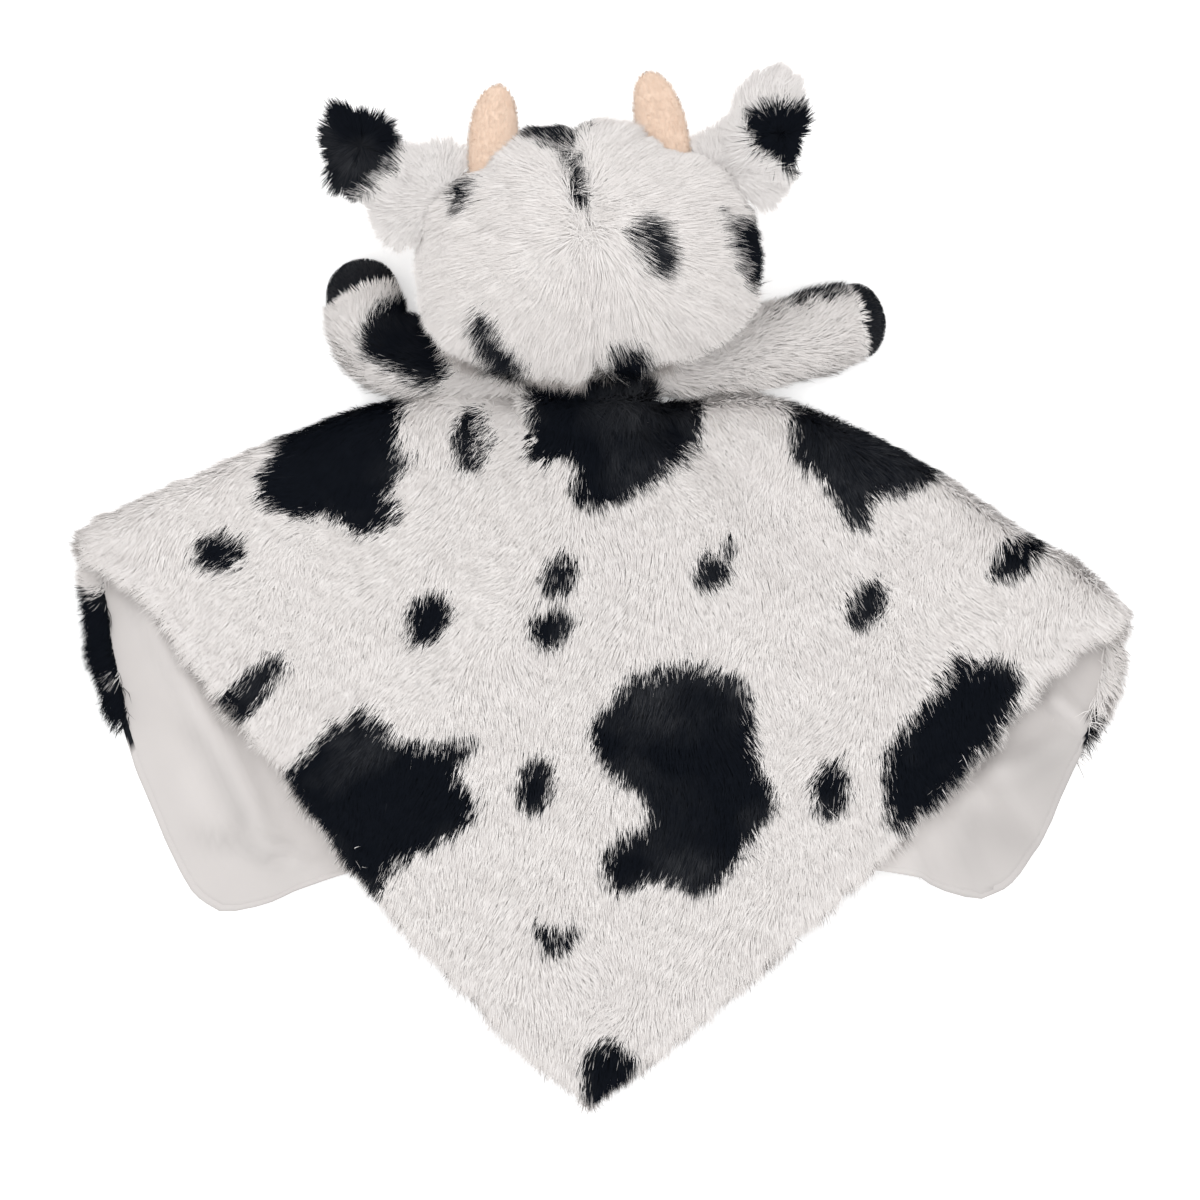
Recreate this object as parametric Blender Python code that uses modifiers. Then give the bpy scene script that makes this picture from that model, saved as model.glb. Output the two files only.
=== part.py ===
"""A comfort blanket lovey: a stuffed calf head on the centre of a square two-layer blanket.

It lies face down, as it is put down on a table. +Z is up, +Y runs from the blanket to the top
of the head and +X is to the right of someone looking down on its back. The origin is on the
table, at the middle of the flat foot of the muzzle. Sizes are in metres, angles in degrees.
"""

import math

import bmesh
import bpy
import numpy as np
from mathutils import Euler, Matrix, Vector

MM = 0.001

# Cloth and clearances
PLUSH_THICKNESS = 4.0 * MM
LINING_THICKNESS = 1.2 * MM
VELOUR_THICKNESS = 1.2 * MM
EMBROIDERY_HEIGHT = 1.4 * MM
SEAM_GAP = 0.3 * MM
PANEL_GAP = 0.6 * MM
HOOF_SEAM_GAP = 0.8 * MM
FOOT_DEPTH = 0.5 * MM
OVERRUN = 20.0 * MM

# Head, an ellipsoid whose depth is the way the face looks, down to the table
HEAD_WIDTH = 108.0 * MM
HEAD_HEIGHT = 80.0 * MM
HEAD_DEPTH = 76.0 * MM
HEAD_AHEAD_OF_MUZZLE = 7.0 * MM
FACE_TO_TABLE = 14.0 * MM
HEAD_TILT = 4.9
FACE_SEAM_SHARE = 0.42
HEAD_SEGMENTS = 28
HEAD_RINGS = 18
MUZZLE_WIDTH = 56.0 * MM
MUZZLE_HEIGHT = 40.0 * MM
MUZZLE_DEPTH = 34.0 * MM
MUZZLE_SEGMENTS = 24
MUZZLE_RINGS = 14

# Face details
EYE_WIDTH = 9.0 * MM
EYE_HEIGHT = 12.0 * MM
EYE_SPACING = 46.0 * MM
EYE_RISE = 13.0 * MM
NOSTRIL_WIDTH = 5.0 * MM
NOSTRIL_HEIGHT = 3.6 * MM
NOSTRIL_SPACING = 26.0 * MM
NOSTRIL_RISE = 6.0 * MM
EYE_SEGMENTS = 12
NOSTRIL_SEGMENTS = 10
FACE_DETAIL_RINGS = 8

# Horns
HORN_LENGTH = 32.0 * MM
HORN_WIDTH = 18.0 * MM
HORN_THICKNESS = 12.0 * MM
HORN_SPACING = 58.0 * MM
HORN_ROOT_BACK = 7.0 * MM
# How far the outer edge of a horn's root lies inside the head
HORN_SUNK = 2.45 * MM
HORN_LEAN = 2.0
HORN_CURL = 5.0 * MM
HORN_SEGMENTS = 12
# Along the horn from root to tip, and the radius there
HORN_SHAPE_SHARES = (
    (0.0, 0.94), (0.16, 1.0), (0.36, 0.98), (0.56, 0.87), (0.74, 0.72), (0.88, 0.52), (0.97, 0.27),
)

# Ears
EAR_LENGTH = 43.0 * MM
EAR_WIDTH = 31.0 * MM
EAR_CUP = 5.0 * MM
EAR_THICKNESS = 3.2 * MM
EAR_ROOT_RISE = 20.0 * MM
EAR_ROOT_BACK = 5.0 * MM
# How far an ear's pivot stands off the side of the head
EAR_ROOT_STANDOFF = 1.28 * MM
LEFT_EAR_RAISE = 39.0
RIGHT_EAR_RAISE = 50.0
# Half width of the ear from root to tip
EAR_WIDTH_SHARES = (0.50, 0.66, 0.86, 0.99, 1.0, 0.90, 0.66, 0.22)
EAR_ACROSS = 6

# Neck: the blanket's centre, gathered over a ball of stuffing that sits in the head
NECK_BALL_RADIUS = 10.0 * MM
NECK_HEIGHT = 30.0 * MM
NECK_BELOW_HEAD_CENTRE = 36.5 * MM
NECK_THREAD_RADIUS = 0.9 * MM
NECK_THREAD_DROP = 7.0 * MM
NECK_SEGMENTS = 20
NECK_RINGS = 12

# Arms, from a ball-shaped shoulder beside the neck to a hoof
SHOULDER_RADIUS = 7.0 * MM
SHOULDER_SPREAD = 12.0 * MM
SHOULDER_DROP = 13.0 * MM
SHOULDER_RING_TURNS = (75, 50, 25)
ARM_REACH = 66.0 * MM
ARM_RADIUS = 10.6 * MM
# Points of each arm's middle line: out to the side, towards the head's top, and down
LEFT_ARM_SHARES = (
    (0.00, 0.00, 0.00), (0.16, 0.01, -0.04), (0.36, 0.03, -0.09), (0.60, 0.05, -0.10),
    (0.82, 0.10, -0.10), (0.96, 0.21, -0.10), (1.03, 0.36, -0.10), (1.03, 0.51, -0.10),
)
RIGHT_ARM_SHARES = (
    (0.00, 0.00, 0.00), (0.17, 0.01, -0.04), (0.38, 0.04, -0.09), (0.62, 0.09, -0.10),
    (0.87, 0.17, -0.10), (1.10, 0.24, -0.10), (1.27, 0.29, -0.10), (1.38, 0.32, -0.10),
)
ARM_RADIUS_SHARES = (0.66, 0.74, 0.88, 0.97, 1.0, 1.0, 0.98, 0.64)
ARM_COVER_STEPS = 5
ARM_SEGMENTS = 12

# Blanket, a square of plush backed with a smooth lining. Seen from its centre, an angle of 0
# points to the back corner and 90 to the left corner, once round to 360.
BLANKET_SIDE = 350.0 * MM
BLANKET_SHIFT = 9.0 * MM
LEFT_FOLD = 66.0
RIGHT_FOLD = 63.0
LEFT_FOLD_LIES_AT = 71.5
RIGHT_FOLD_LIES_AT = 64.2
LEFT_CORNER_LIES_AT = 38.0
RIGHT_CORNER_LIES_AT = 38.0
PLEAT_HALF_ANGLE = 24.0
STEP_DOWN_FROM = 28.0
STEP_DOWN_TO = 42.0
LEFT_SPREAD_SHARE = 0.17
RIGHT_SPREAD_SHARE = 0.34
FRONT_SHRINK_SHARE = 0.92
FOLD_RADIUS = 5.0 * MM
LINING_FOLD_RADIUS = 2.3 * MM
PLUSH_FOLD_RADIUS = 5.0 * MM
BACK_WAVE_HEIGHT = 1.8 * MM
BACK_WAVE_COUNT = 9
NECK_RING_HALF_WIDTH = 20.0 * MM
NECK_RING_HALF_HEIGHT = 9.0 * MM
NECK_RING_DROP = 4.0 * MM
NECK_LENGTH = 12.0 * MM
# Rows from the neck ring to the hem, as shares of the way to the hem
ROW_SHARES = (0.10, 0.15, 0.20, 0.25, 0.31, 0.38, 0.48, 0.60, 0.73, 0.87, 1.0)
RING_ROW_SHARES = (0.5, 0.9)
STACKED_BY_SHARE = 0.22
FOLDED_FROM_SHARE = 0.12
FOLDED_BY_SHARE = 0.31
NECK_CLOTH_SHARE = 0.40
LINING_FROM_SHARE = 0.30
BACK_STEPS = 5
FLAP_STEPS = 3
PLEAT_STEPS = 4
ARC_STEPS = 3

PLUSH_WHITE = (0.80, 0.765, 0.74)
LINING_WHITE = (0.77, 0.735, 0.72)
VELOUR_PEACH = (0.76, 0.55, 0.43)
VELOUR_BLACK = (0.012, 0.014, 0.02)
THREAD_WHITE = (0.75, 0.73, 0.70)
FILLING_WHITE = (0.86, 0.86, 0.85)

HEAD_SEMI_AXES = Vector((HEAD_WIDTH, HEAD_HEIGHT, HEAD_DEPTH)) / 2
MUZZLE_SEMI_AXES = Vector((MUZZLE_WIDTH, MUZZLE_HEIGHT, MUZZLE_DEPTH)) / 2
HEAD_CENTRE = Vector((0, HEAD_AHEAD_OF_MUZZLE, FACE_TO_TABLE + HEAD_DEPTH / 2))
MUZZLE_CENTRE = Vector((0, 0, MUZZLE_DEPTH / 2 - FOOT_DEPTH))
NECK_CENTRE = Vector((0, HEAD_CENTRE.y - NECK_BELOW_HEAD_CENTRE, NECK_HEIGHT))
NECK_FACE_Y = NECK_CENTRE.y - NECK_BALL_RADIUS - SEAM_GAP
SHOULDER_Y = NECK_FACE_Y + SHOULDER_RADIUS + SEAM_GAP
SHOULDER_Z = NECK_HEIGHT - SHOULDER_DROP

parts = bpy.data.collections.new("comfort_blanket_lovey")
cutters = bpy.data.collections.new("cutters")


def clear_scene():
    """Remove whatever the scene holds and make the two collections."""
    for old in list(bpy.data.objects):
        bpy.data.objects.remove(old)
    bpy.context.scene.collection.children.link(parts)
    bpy.context.scene.collection.children.link(cutters)
    cutters.hide_render = True


def material(name, colour, roughness):
    """A Principled BSDF with one colour and roughness."""
    made = bpy.data.materials.new(name)
    made.use_nodes = True
    shader = made.node_tree.nodes["Principled BSDF"]
    shader.inputs["Base Color"].default_value = (*colour, 1)
    shader.inputs["Roughness"].default_value = roughness
    shader.inputs["Metallic"].default_value = 0
    return made


def empty(name, place, parent=None, turn=(0, 0, 0)):
    """A pivot that pieces are parented to, at a place in its parent's frame."""
    made = bpy.data.objects.new(name, None)
    made.location = place
    made.rotation_euler = Euler([math.radians(angle) for angle in turn])
    made.parent = parent
    parts.objects.link(made)
    return made


def piece(name, bm, finish, parent=None, place=(0, 0, 0)):
    """A visible piece made from a bmesh, shaded smooth except at its sharp edges."""
    bmesh.ops.recalc_face_normals(bm, faces=bm.faces)
    mesh = bpy.data.meshes.new(name)
    bm.to_mesh(mesh)
    bm.free()
    mesh.shade_smooth()
    mesh.set_sharp_from_angle(angle=math.radians(40))
    mesh.materials.append(finish)
    made = bpy.data.objects.new(name, mesh)
    made.location = place
    made.parent = parent
    parts.objects.link(made)
    return made


def cutter(name, bm, parent=None, place=(0, 0, 0), turn=(0, 0, 0)):
    """A helper solid that cuts other pieces and isn't part of the toy."""
    bmesh.ops.recalc_face_normals(bm, faces=bm.faces)
    mesh = bpy.data.meshes.new(name)
    bm.to_mesh(mesh)
    bm.free()
    made = bpy.data.objects.new(name, mesh)
    made.location = place
    made.rotation_euler = Euler([math.radians(angle) for angle in turn])
    made.parent = parent
    made.hide_render = True
    made.display_type = "WIRE"
    cutters.objects.link(made)
    return made


def cut(target, *tools):
    """Take each tool's volume out of the target."""
    for tool in tools:
        step = target.modifiers.new("cut_" + tool.name, "BOOLEAN")
        step.operation = "DIFFERENCE"
        step.solver = "EXACT"
        step.object = tool


def solidify(target, thickness, outwards):
    """Give an open surface its cloth thickness, to one side of it."""
    step = target.modifiers.new("cloth", "SOLIDIFY")
    step.thickness = thickness
    step.offset = 1 if outwards else -1
    return step


def ball(semi_axes, across, along):
    """An ellipsoid round the origin, its poles along Z."""
    bm = bmesh.new()
    stretch = Matrix.Diagonal((*semi_axes, 1))
    bmesh.ops.create_uvsphere(bm, u_segments=across, v_segments=along, radius=1, matrix=stretch)
    return bm


def grown(semi_axes, by):
    """Semi-axes made longer, or shorter where by is negative, all round."""
    return Vector(length + by for length in semi_axes)


def box(low, high):
    """A box between two corners."""
    bm = bmesh.new()
    low, high = Vector(low), Vector(high)
    size = Matrix.Diagonal((*(high - low), 1))
    bmesh.ops.create_cube(bm, size=1, matrix=Matrix.Translation((low + high) / 2) @ size)
    return bm


def ring_matrix(centre, along, radii):
    """Places a unit circle square to a direction, with its own two radii."""
    turn = along.to_track_quat("Z", "Y").to_matrix().to_4x4()
    return Matrix.Translation(centre) @ turn @ Matrix.Diagonal((*radii, 1, 1))


def loft(stations, segments, start_closed, end_closed):
    """A skin through rings. Each station is (centre, direction, (radius, radius))."""
    bm = bmesh.new()
    loops = [
        bmesh.ops.create_circle(bm, segments=segments, radius=1, matrix=ring_matrix(*station))["verts"]
        for station in stations
    ]
    for near, far in zip(loops, loops[1:]):
        for k in range(segments):
            after = (k + 1) % segments
            bm.faces.new((near[k], near[after], far[after], far[k]))
    if start_closed:
        bm.faces.new(loops[0])
    if end_closed:
        bm.faces.new(loops[-1])
    return bm


def directions(points):
    """The way a line of points runs at each of them."""
    return [
        (points[min(k + 1, len(points) - 1)] - points[max(k - 1, 0)]).normalized()
        for k in range(len(points))
    ]


def build_head(finishes, pivot):
    """The head's skin in three panels, its filling and the socket for the neck."""
    frame = empty("head_frame", HEAD_CENTRE - NECK_CENTRE, pivot, (0, 0, HEAD_TILT))
    across, along = HEAD_SEGMENTS, HEAD_RINGS
    inner = cutter("head_inside", ball(grown(HEAD_SEMI_AXES, -PLUSH_THICKNESS), across, along), frame)
    reach = HEAD_WIDTH + OVERRUN
    seam_z = HEAD_SEMI_AXES.z * (2 * FACE_SEAM_SHARE - 1)
    half_gap = PANEL_GAP / 2
    left_side = cutter("left_side", box((-reach, -reach, -reach), (half_gap, reach, reach)), frame)
    right_side = cutter("right_side", box((-half_gap, -reach, -reach), (reach, reach, reach)), frame)
    face_side = cutter(
        "face_side", box((-reach, -reach, -reach), (reach, reach, seam_z + half_gap)), frame
    )
    back_side = cutter(
        "back_side", box((-reach, -reach, seam_z - half_gap), (reach, reach, reach)), frame
    )
    socket = cutter(
        "neck_socket",
        ball([NECK_BALL_RADIUS + SEAM_GAP] * 3, NECK_SEGMENTS, NECK_RINGS),
        pivot,
    )
    plush = finishes["plush"]
    back_left = piece("head_back_left", ball(HEAD_SEMI_AXES, across, along), plush, frame)
    cut(back_left, inner, right_side, face_side, socket)
    back_right = piece("head_back_right", ball(HEAD_SEMI_AXES, across, along), plush, frame)
    cut(back_right, inner, left_side, face_side, socket)
    face = piece("head_face_panel", ball(HEAD_SEMI_AXES, across, along), plush, frame)
    cut(face, inner, back_side, socket)
    filling_axes = grown(HEAD_SEMI_AXES, -PLUSH_THICKNESS - SEAM_GAP)
    filling = piece("head_filling", ball(filling_axes, across, along), finishes["filling"], frame)
    cut(filling, socket)
    return frame


def build_muzzle(finishes, frame, table):
    """The velour muzzle with its filling, sewn on the face and cut flat where it rests."""
    place = MUZZLE_CENTRE - HEAD_CENTRE
    place = Matrix.Rotation(math.radians(-HEAD_TILT), 3, "Z") @ place
    skull = cutter("head_outside", head_skin(), frame)
    across, along = MUZZLE_SEGMENTS, MUZZLE_RINGS
    inside = grown(MUZZLE_SEMI_AXES, -VELOUR_THICKNESS)
    hollow = cutter("muzzle_inside", ball(inside, across, along), frame, place)
    outer = ball(MUZZLE_SEMI_AXES, across, along)
    cover = piece("muzzle_cover", outer, finishes["peach"], frame, place)
    cut(cover, hollow, skull, table)
    stuffing = ball(grown(inside, -SEAM_GAP), across, along)
    filling = piece("muzzle_filling", stuffing, finishes["filling"], frame, place)
    cut(filling, skull)
    clear_of_muzzle = ball(grown(MUZZLE_SEMI_AXES, SEAM_GAP), across, along)
    outside = cutter("muzzle_outside", clear_of_muzzle, frame, place)
    for side, sign in (("left", -1), ("right", 1)):
        at = Vector((sign * NOSTRIL_SPACING / 2, NOSTRIL_RISE, 0))
        depth = ellipsoid_depth(MUZZLE_SEMI_AXES, at)
        nostril_axes = (NOSTRIL_WIDTH / 2, NOSTRIL_HEIGHT / 2, EMBROIDERY_HEIGHT + SEAM_GAP)
        nostril = piece(
            f"nostril_{side}",
            ball(nostril_axes, NOSTRIL_SEGMENTS, FACE_DETAIL_RINGS),
            finishes["black"],
            frame,
            place + at - Vector((0, 0, depth)),
        )
        cut(nostril, outside)
        at = Vector((sign * EYE_SPACING / 2, EYE_RISE, 0))
        depth = ellipsoid_depth(HEAD_SEMI_AXES, at)
        eye_axes = (EYE_WIDTH / 2, EYE_HEIGHT / 2, EMBROIDERY_HEIGHT + SEAM_GAP)
        eye = piece(
            f"eye_{side}",
            ball(eye_axes, EYE_SEGMENTS, FACE_DETAIL_RINGS),
            finishes["black"],
            frame,
            at - Vector((0, 0, depth)),
        )
        outwards = Vector(
            part_way / semi_axis**2 for part_way, semi_axis in zip((at.x, at.y, -depth), HEAD_SEMI_AXES)
        )
        eye.rotation_euler = (-outwards).to_track_quat("Z", "Y").to_euler()
        cut(eye, skull)


def ellipsoid_depth(semi_axes, at):
    """How far below its centre plane an ellipsoid's face side lies at a point."""
    inside = 1 - (at.x / semi_axes.x) ** 2 - (at.y / semi_axes.y) ** 2
    return semi_axes.z * math.sqrt(inside)


def head_skin():
    """The head's outside with the seam gap round it, which clears whatever is sewn to it."""
    return ball(grown(HEAD_SEMI_AXES, SEAM_GAP), HEAD_SEGMENTS, HEAD_RINGS)


def horn_root(sign):
    """Where a horn starts, so that the outer edge of its root lies inside the head."""
    middle = HORN_SPACING / 2
    outer = (middle + HORN_WIDTH / 2) / HEAD_SEMI_AXES.x
    back = HORN_ROOT_BACK / HEAD_SEMI_AXES.z
    rise = HEAD_SEMI_AXES.y * math.sqrt(1 - outer**2 - back**2) - HORN_SUNK
    return Vector((sign * middle, rise, HORN_ROOT_BACK))


def ear_root(sign):
    """Where an ear turns, just off the side of the head."""
    rise = EAR_ROOT_RISE / HEAD_SEMI_AXES.y
    back = EAR_ROOT_BACK / HEAD_SEMI_AXES.z
    out = HEAD_SEMI_AXES.x * math.sqrt(1 - rise**2 - back**2) + EAR_ROOT_STANDOFF
    return Vector((sign * out, EAR_ROOT_RISE, EAR_ROOT_BACK))


def horn_stations(sign, shrink):
    """Rings of one horn, which leans out at its root and curls in towards its tip."""
    lean = math.radians(HORN_LEAN) * sign
    up = Vector((math.sin(lean), math.cos(lean), 0))
    aside = Vector((math.cos(lean), -math.sin(lean), 0)) * sign
    points = [
        up * (share * HORN_LENGTH - (shrink if share > 0.5 else 0))
        - aside * (HORN_CURL * share**2)
        for share, _ in HORN_SHAPE_SHARES
    ]
    radii = [
        (HORN_WIDTH / 2 * width - shrink * width, HORN_THICKNESS / 2 * width - shrink * width)
        for _, width in HORN_SHAPE_SHARES
    ]
    return list(zip(points, directions(points), radii))


def build_horns(finishes, frame):
    """Two velour horns with filling, sewn into the seam across the top of the head."""
    skull = cutter("head_under_horns", head_skin(), frame)
    for side, sign in (("left", -1), ("right", 1)):
        root = horn_root(sign)
        outside, inside, stuffed = (
            loft(horn_stations(sign, shrink), HORN_SEGMENTS, True, True)
            for shrink in (0, VELOUR_THICKNESS, VELOUR_THICKNESS + SEAM_GAP)
        )
        cover = piece(f"horn_{side}_cover", outside, finishes["peach"], frame, root)
        cut(cover, cutter(f"horn_{side}_inside", inside, frame, root), skull)
        filling = piece(f"horn_{side}_filling", stuffed, finishes["filling"], frame, root)
        cut(filling, skull)


def ear_surface(height, turn):
    """The ear's surface from its root along +X, at a height, cupped at its sides and turned."""
    bm = bmesh.new()
    last = len(EAR_WIDTH_SHARES) - 1
    rows = []
    for k, width in enumerate(EAR_WIDTH_SHARES):
        row = []
        for n in range(EAR_ACROSS + 1):
            across = 2 * n / EAR_ACROSS - 1
            drop = EAR_CUP * width * across**2 * (k + 1) / (last + 1)
            place = (EAR_LENGTH * k / last, EAR_WIDTH / 2 * width * across, height - drop)
            row.append(bm.verts.new(place))
        rows.append(row)
    for near, far in zip(rows, rows[1:]):
        for n in range(EAR_ACROSS):
            bm.faces.new((near[n], far[n], far[n + 1], near[n + 1]))
    bmesh.ops.rotate(bm, matrix=Matrix.Rotation(math.radians(turn), 3, "Z"), verts=bm.verts)
    return bm


def build_ears(finishes, frame):
    """Each ear is a plush back and a velour lining on a pivot across the top of its root."""
    skull = cutter("head_under_ears", head_skin(), frame)
    for side, sign, heading in (
        ("left", -1, 180 - LEFT_EAR_RAISE),
        ("right", 1, RIGHT_EAR_RAISE),
    ):
        root = ear_root(sign)
        slope = math.atan2(root.y / HEAD_SEMI_AXES.y**2, root.x / HEAD_SEMI_AXES.x**2)
        outwards = math.degrees(slope)
        pivot = empty(f"ear_{side}_pivot", root, frame, (0, 0, outwards))
        turn = heading - outwards
        under = -EAR_THICKNESS
        back = piece(f"ear_{side}_back", ear_surface(under, turn), finishes["plush"], pivot)
        solidify(back, EAR_THICKNESS, True)
        cut(back, skull)
        lining_top = ear_surface(under - SEAM_GAP, turn)
        lining = piece(f"ear_{side}_lining", lining_top, finishes["peach"], pivot)
        solidify(lining, VELOUR_THICKNESS, False)
        cut(lining, skull)


def arm_stations(shares, sign, shrink):
    """Rings along one arm, from the ball of the shoulder to the tip of the hoof."""
    points = [Vector((sign * out, up, down)) * ARM_REACH for out, up, down in shares]
    ways = directions(points)
    if shrink:
        points[0] += ways[0] * shrink
        points[-1] -= ways[-1] * shrink
    radii = [max(ARM_RADIUS * share - shrink, shrink) for share in ARM_RADIUS_SHARES]
    return list(zip(points, ways, [(radius, radius) for radius in radii]))


def shoulder_stations(way, radius):
    """Half a ball behind the first ring of an arm."""
    return [
        (-way * radius * math.sin(angle), way, (radius * math.cos(angle),) * 2)
        for angle in (math.radians(turn) for turn in SHOULDER_RING_TURNS)
    ]


def build_arms(finishes, table):
    """Two stuffed plush arms, each with a black hoof, on pivots at the shoulders."""
    for side, sign, shares in (("left", -1, LEFT_ARM_SHARES), ("right", 1, RIGHT_ARM_SHARES)):
        place = (sign * SHOULDER_SPREAD, SHOULDER_Y, SHOULDER_Z)
        pivot = empty(f"arm_{side}_pivot", place)
        stations = arm_stations(shares, sign, 0)
        way = stations[0][1]
        skin = shoulder_stations(way, SHOULDER_RADIUS) + stations[: ARM_COVER_STEPS + 1]
        sleeve = loft(skin, ARM_SEGMENTS, True, False)
        cover = piece(f"arm_{side}_cover", sleeve, finishes["plush"], pivot)
        solidify(cover, PLUSH_THICKNESS - VELOUR_THICKNESS, False)
        cut(cover, table)
        end, end_way, end_radii = stations[ARM_COVER_STEPS]
        rim = (end + end_way * HOOF_SEAM_GAP, end_way, end_radii)
        hoof_skin = [rim] + stations[ARM_COVER_STEPS + 1 :]
        cap = loft(hoof_skin, ARM_SEGMENTS, False, True)
        hoof = piece(f"hoof_{side}", cap, finishes["black"], pivot)
        solidify(hoof, VELOUR_THICKNESS, False)
        cut(hoof, table)
        shrink = PLUSH_THICKNESS - VELOUR_THICKNESS + SEAM_GAP
        inner = arm_stations(shares, sign, shrink)
        fill = shoulder_stations(way, SHOULDER_RADIUS - shrink)[1:] + inner
        piece(f"arm_{side}_filling", loft(fill, ARM_SEGMENTS, True, True), finishes["filling"], pivot)


def build_neck(finishes, pivot):
    """The ball of stuffing under the blanket's centre and the ring of thread tied round it."""
    stuffed = ball([NECK_BALL_RADIUS] * 3, NECK_SEGMENTS, NECK_RINGS)
    piece("neck_ball", stuffed, finishes["plush"], pivot)
    waist = math.sqrt(NECK_BALL_RADIUS**2 - NECK_THREAD_DROP**2)
    bpy.ops.mesh.primitive_torus_add(
        major_segments=24,
        minor_segments=6,
        major_radius=waist + SEAM_GAP + NECK_THREAD_RADIUS,
        minor_radius=NECK_THREAD_RADIUS,
        location=(0, -NECK_THREAD_DROP - NECK_THREAD_RADIUS, 0),
        rotation=(math.radians(90), 0, 0),
    )
    thread = bpy.context.object
    thread.name = "neck_thread"
    thread.data.shade_smooth()
    thread.data.materials.append(finishes["thread"])
    thread.parent = pivot
    for home in list(thread.users_collection):
        home.objects.unlink(thread)
    parts.objects.link(thread)


def hem_distance(angle):
    """From the blanket's centre to its edge, at an angle from the back corner."""
    from_edge_middle = math.radians((angle % 90) - 45)
    return BLANKET_SIDE / 2 / math.cos(from_edge_middle)


def smooth_step(value, start, end):
    """0 before start, 1 after end, with an even curve between."""
    share = min(max((value - start) / (end - start), 0), 1)
    return share * share * (3 - 2 * share)


def blanket_levels():
    """Heights of the cloth's middle above the table, for each layer of the folded blanket."""
    front = PLUSH_THICKNESS + SEAM_GAP / 2 - FOOT_DEPTH
    pleat = front + 2 * LINING_FOLD_RADIUS
    over = pleat + 2 * PLUSH_FOLD_RADIUS
    back_side = front + 2 * FOLD_RADIUS
    back_middle = over + 2 * (LINING_THICKNESS + SEAM_GAP)
    return front, pleat, over, back_side, back_middle


def back_height(angle):
    """The back half lies on the folds below it, so it is highest over the pleat."""
    _, _, _, side, middle = blanket_levels()
    near_pleat = 1 - smooth_step(abs(angle), PLEAT_HALF_ANGLE, LEFT_FOLD - STEP_DOWN_FROM / 2)
    waves = math.sin(math.radians(angle * BACK_WAVE_COUNT))
    wave = BACK_WAVE_HEIGHT * waves * (1 - min(abs(angle) / RIGHT_FOLD_LIES_AT, 1) ** 2)
    return side + (middle - side) * near_pleat + wave


def arc(angle, lies_at, low, high, direction):
    """A rounded fold: (cloth angle, angle it lies at, sideways, height) from low to high."""
    radius = (high - low) / 2
    turns = [math.pi * k / ARC_STEPS for k in range(1, ARC_STEPS)]
    return [
        (angle, lies_at, direction * abs(radius) * math.sin(turn), low + radius * (1 - math.cos(turn)))
        for turn in turns
    ]


def run(angles, places, steps, height):
    """A stretch of cloth between two folds, with a height for each place."""
    return [
        (a, p, 0, height(p))
        for a, p in zip(np.linspace(*angles, steps + 1), np.linspace(*places, steps + 1))
    ]


def blanket_stations():
    """Once round the blanket: (cloth angle, angle it lies at, sideways, height)."""
    front, pleat, over, _, _ = blanket_levels()
    half = PLEAT_HALF_ANGLE
    step_down = STEP_DOWN_FROM, STEP_DOWN_TO

    def right_front(place):
        return over + (front - over) * smooth_step(-place, *step_down)

    left, right = LEFT_FOLD_LIES_AT, -RIGHT_FOLD_LIES_AT
    stations = run((-RIGHT_FOLD, 0), (right, 0), BACK_STEPS, back_height)
    stations += run((0, LEFT_FOLD), (0, left), BACK_STEPS, back_height)[1:]
    stations += arc(LEFT_FOLD, left, back_height(left), front, 1)
    stations += run((LEFT_FOLD, 90), (left, LEFT_CORNER_LIES_AT), FLAP_STEPS, lambda _: front)
    stations += run((90, 180 - half), (LEFT_CORNER_LIES_AT, -half), PLEAT_STEPS, lambda _: front)[1:]
    stations += arc(180 - half, -half, front, pleat, -1)
    stations += run((180 - half, 180 + half), (-half, half), PLEAT_STEPS, lambda _: pleat)
    stations += arc(180 + half, half, pleat, over, 1)
    stations += run((180 + half, 270), (half, -RIGHT_CORNER_LIES_AT), PLEAT_STEPS, right_front)
    to_fold = (270, 360 - RIGHT_FOLD), (-RIGHT_CORNER_LIES_AT, right)
    stations += run(*to_fold, FLAP_STEPS, right_front)[1:]
    stations += arc(360 - RIGHT_FOLD, right, front, back_height(right), -1)
    return stations


def lies(station, share):
    """Where one point of the folded blanket lies, away from the neck."""
    angle, lies_at, sideways, height = station
    front_share = smooth_step(abs((angle + 180) % 360 - 180), LEFT_FOLD, 90)
    shrink = 1 - (1 - FRONT_SHRINK_SHARE) * front_share
    distance = hem_distance(angle) * share * shrink
    side_spread = LEFT_SPREAD_SHARE if lies_at > 0 else RIGHT_SPREAD_SHARE
    spread = 1 + side_spread * (1 - share)
    way = math.radians(lies_at * spread)
    out = Vector((-math.sin(way), -math.cos(way), 0))
    aside = Vector((-math.cos(way), math.sin(way), 0))
    centre = Vector((BLANKET_SHIFT, NECK_FACE_Y, 0))
    return centre + out * distance + aside * sideways + Vector((0, 0, height))


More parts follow.
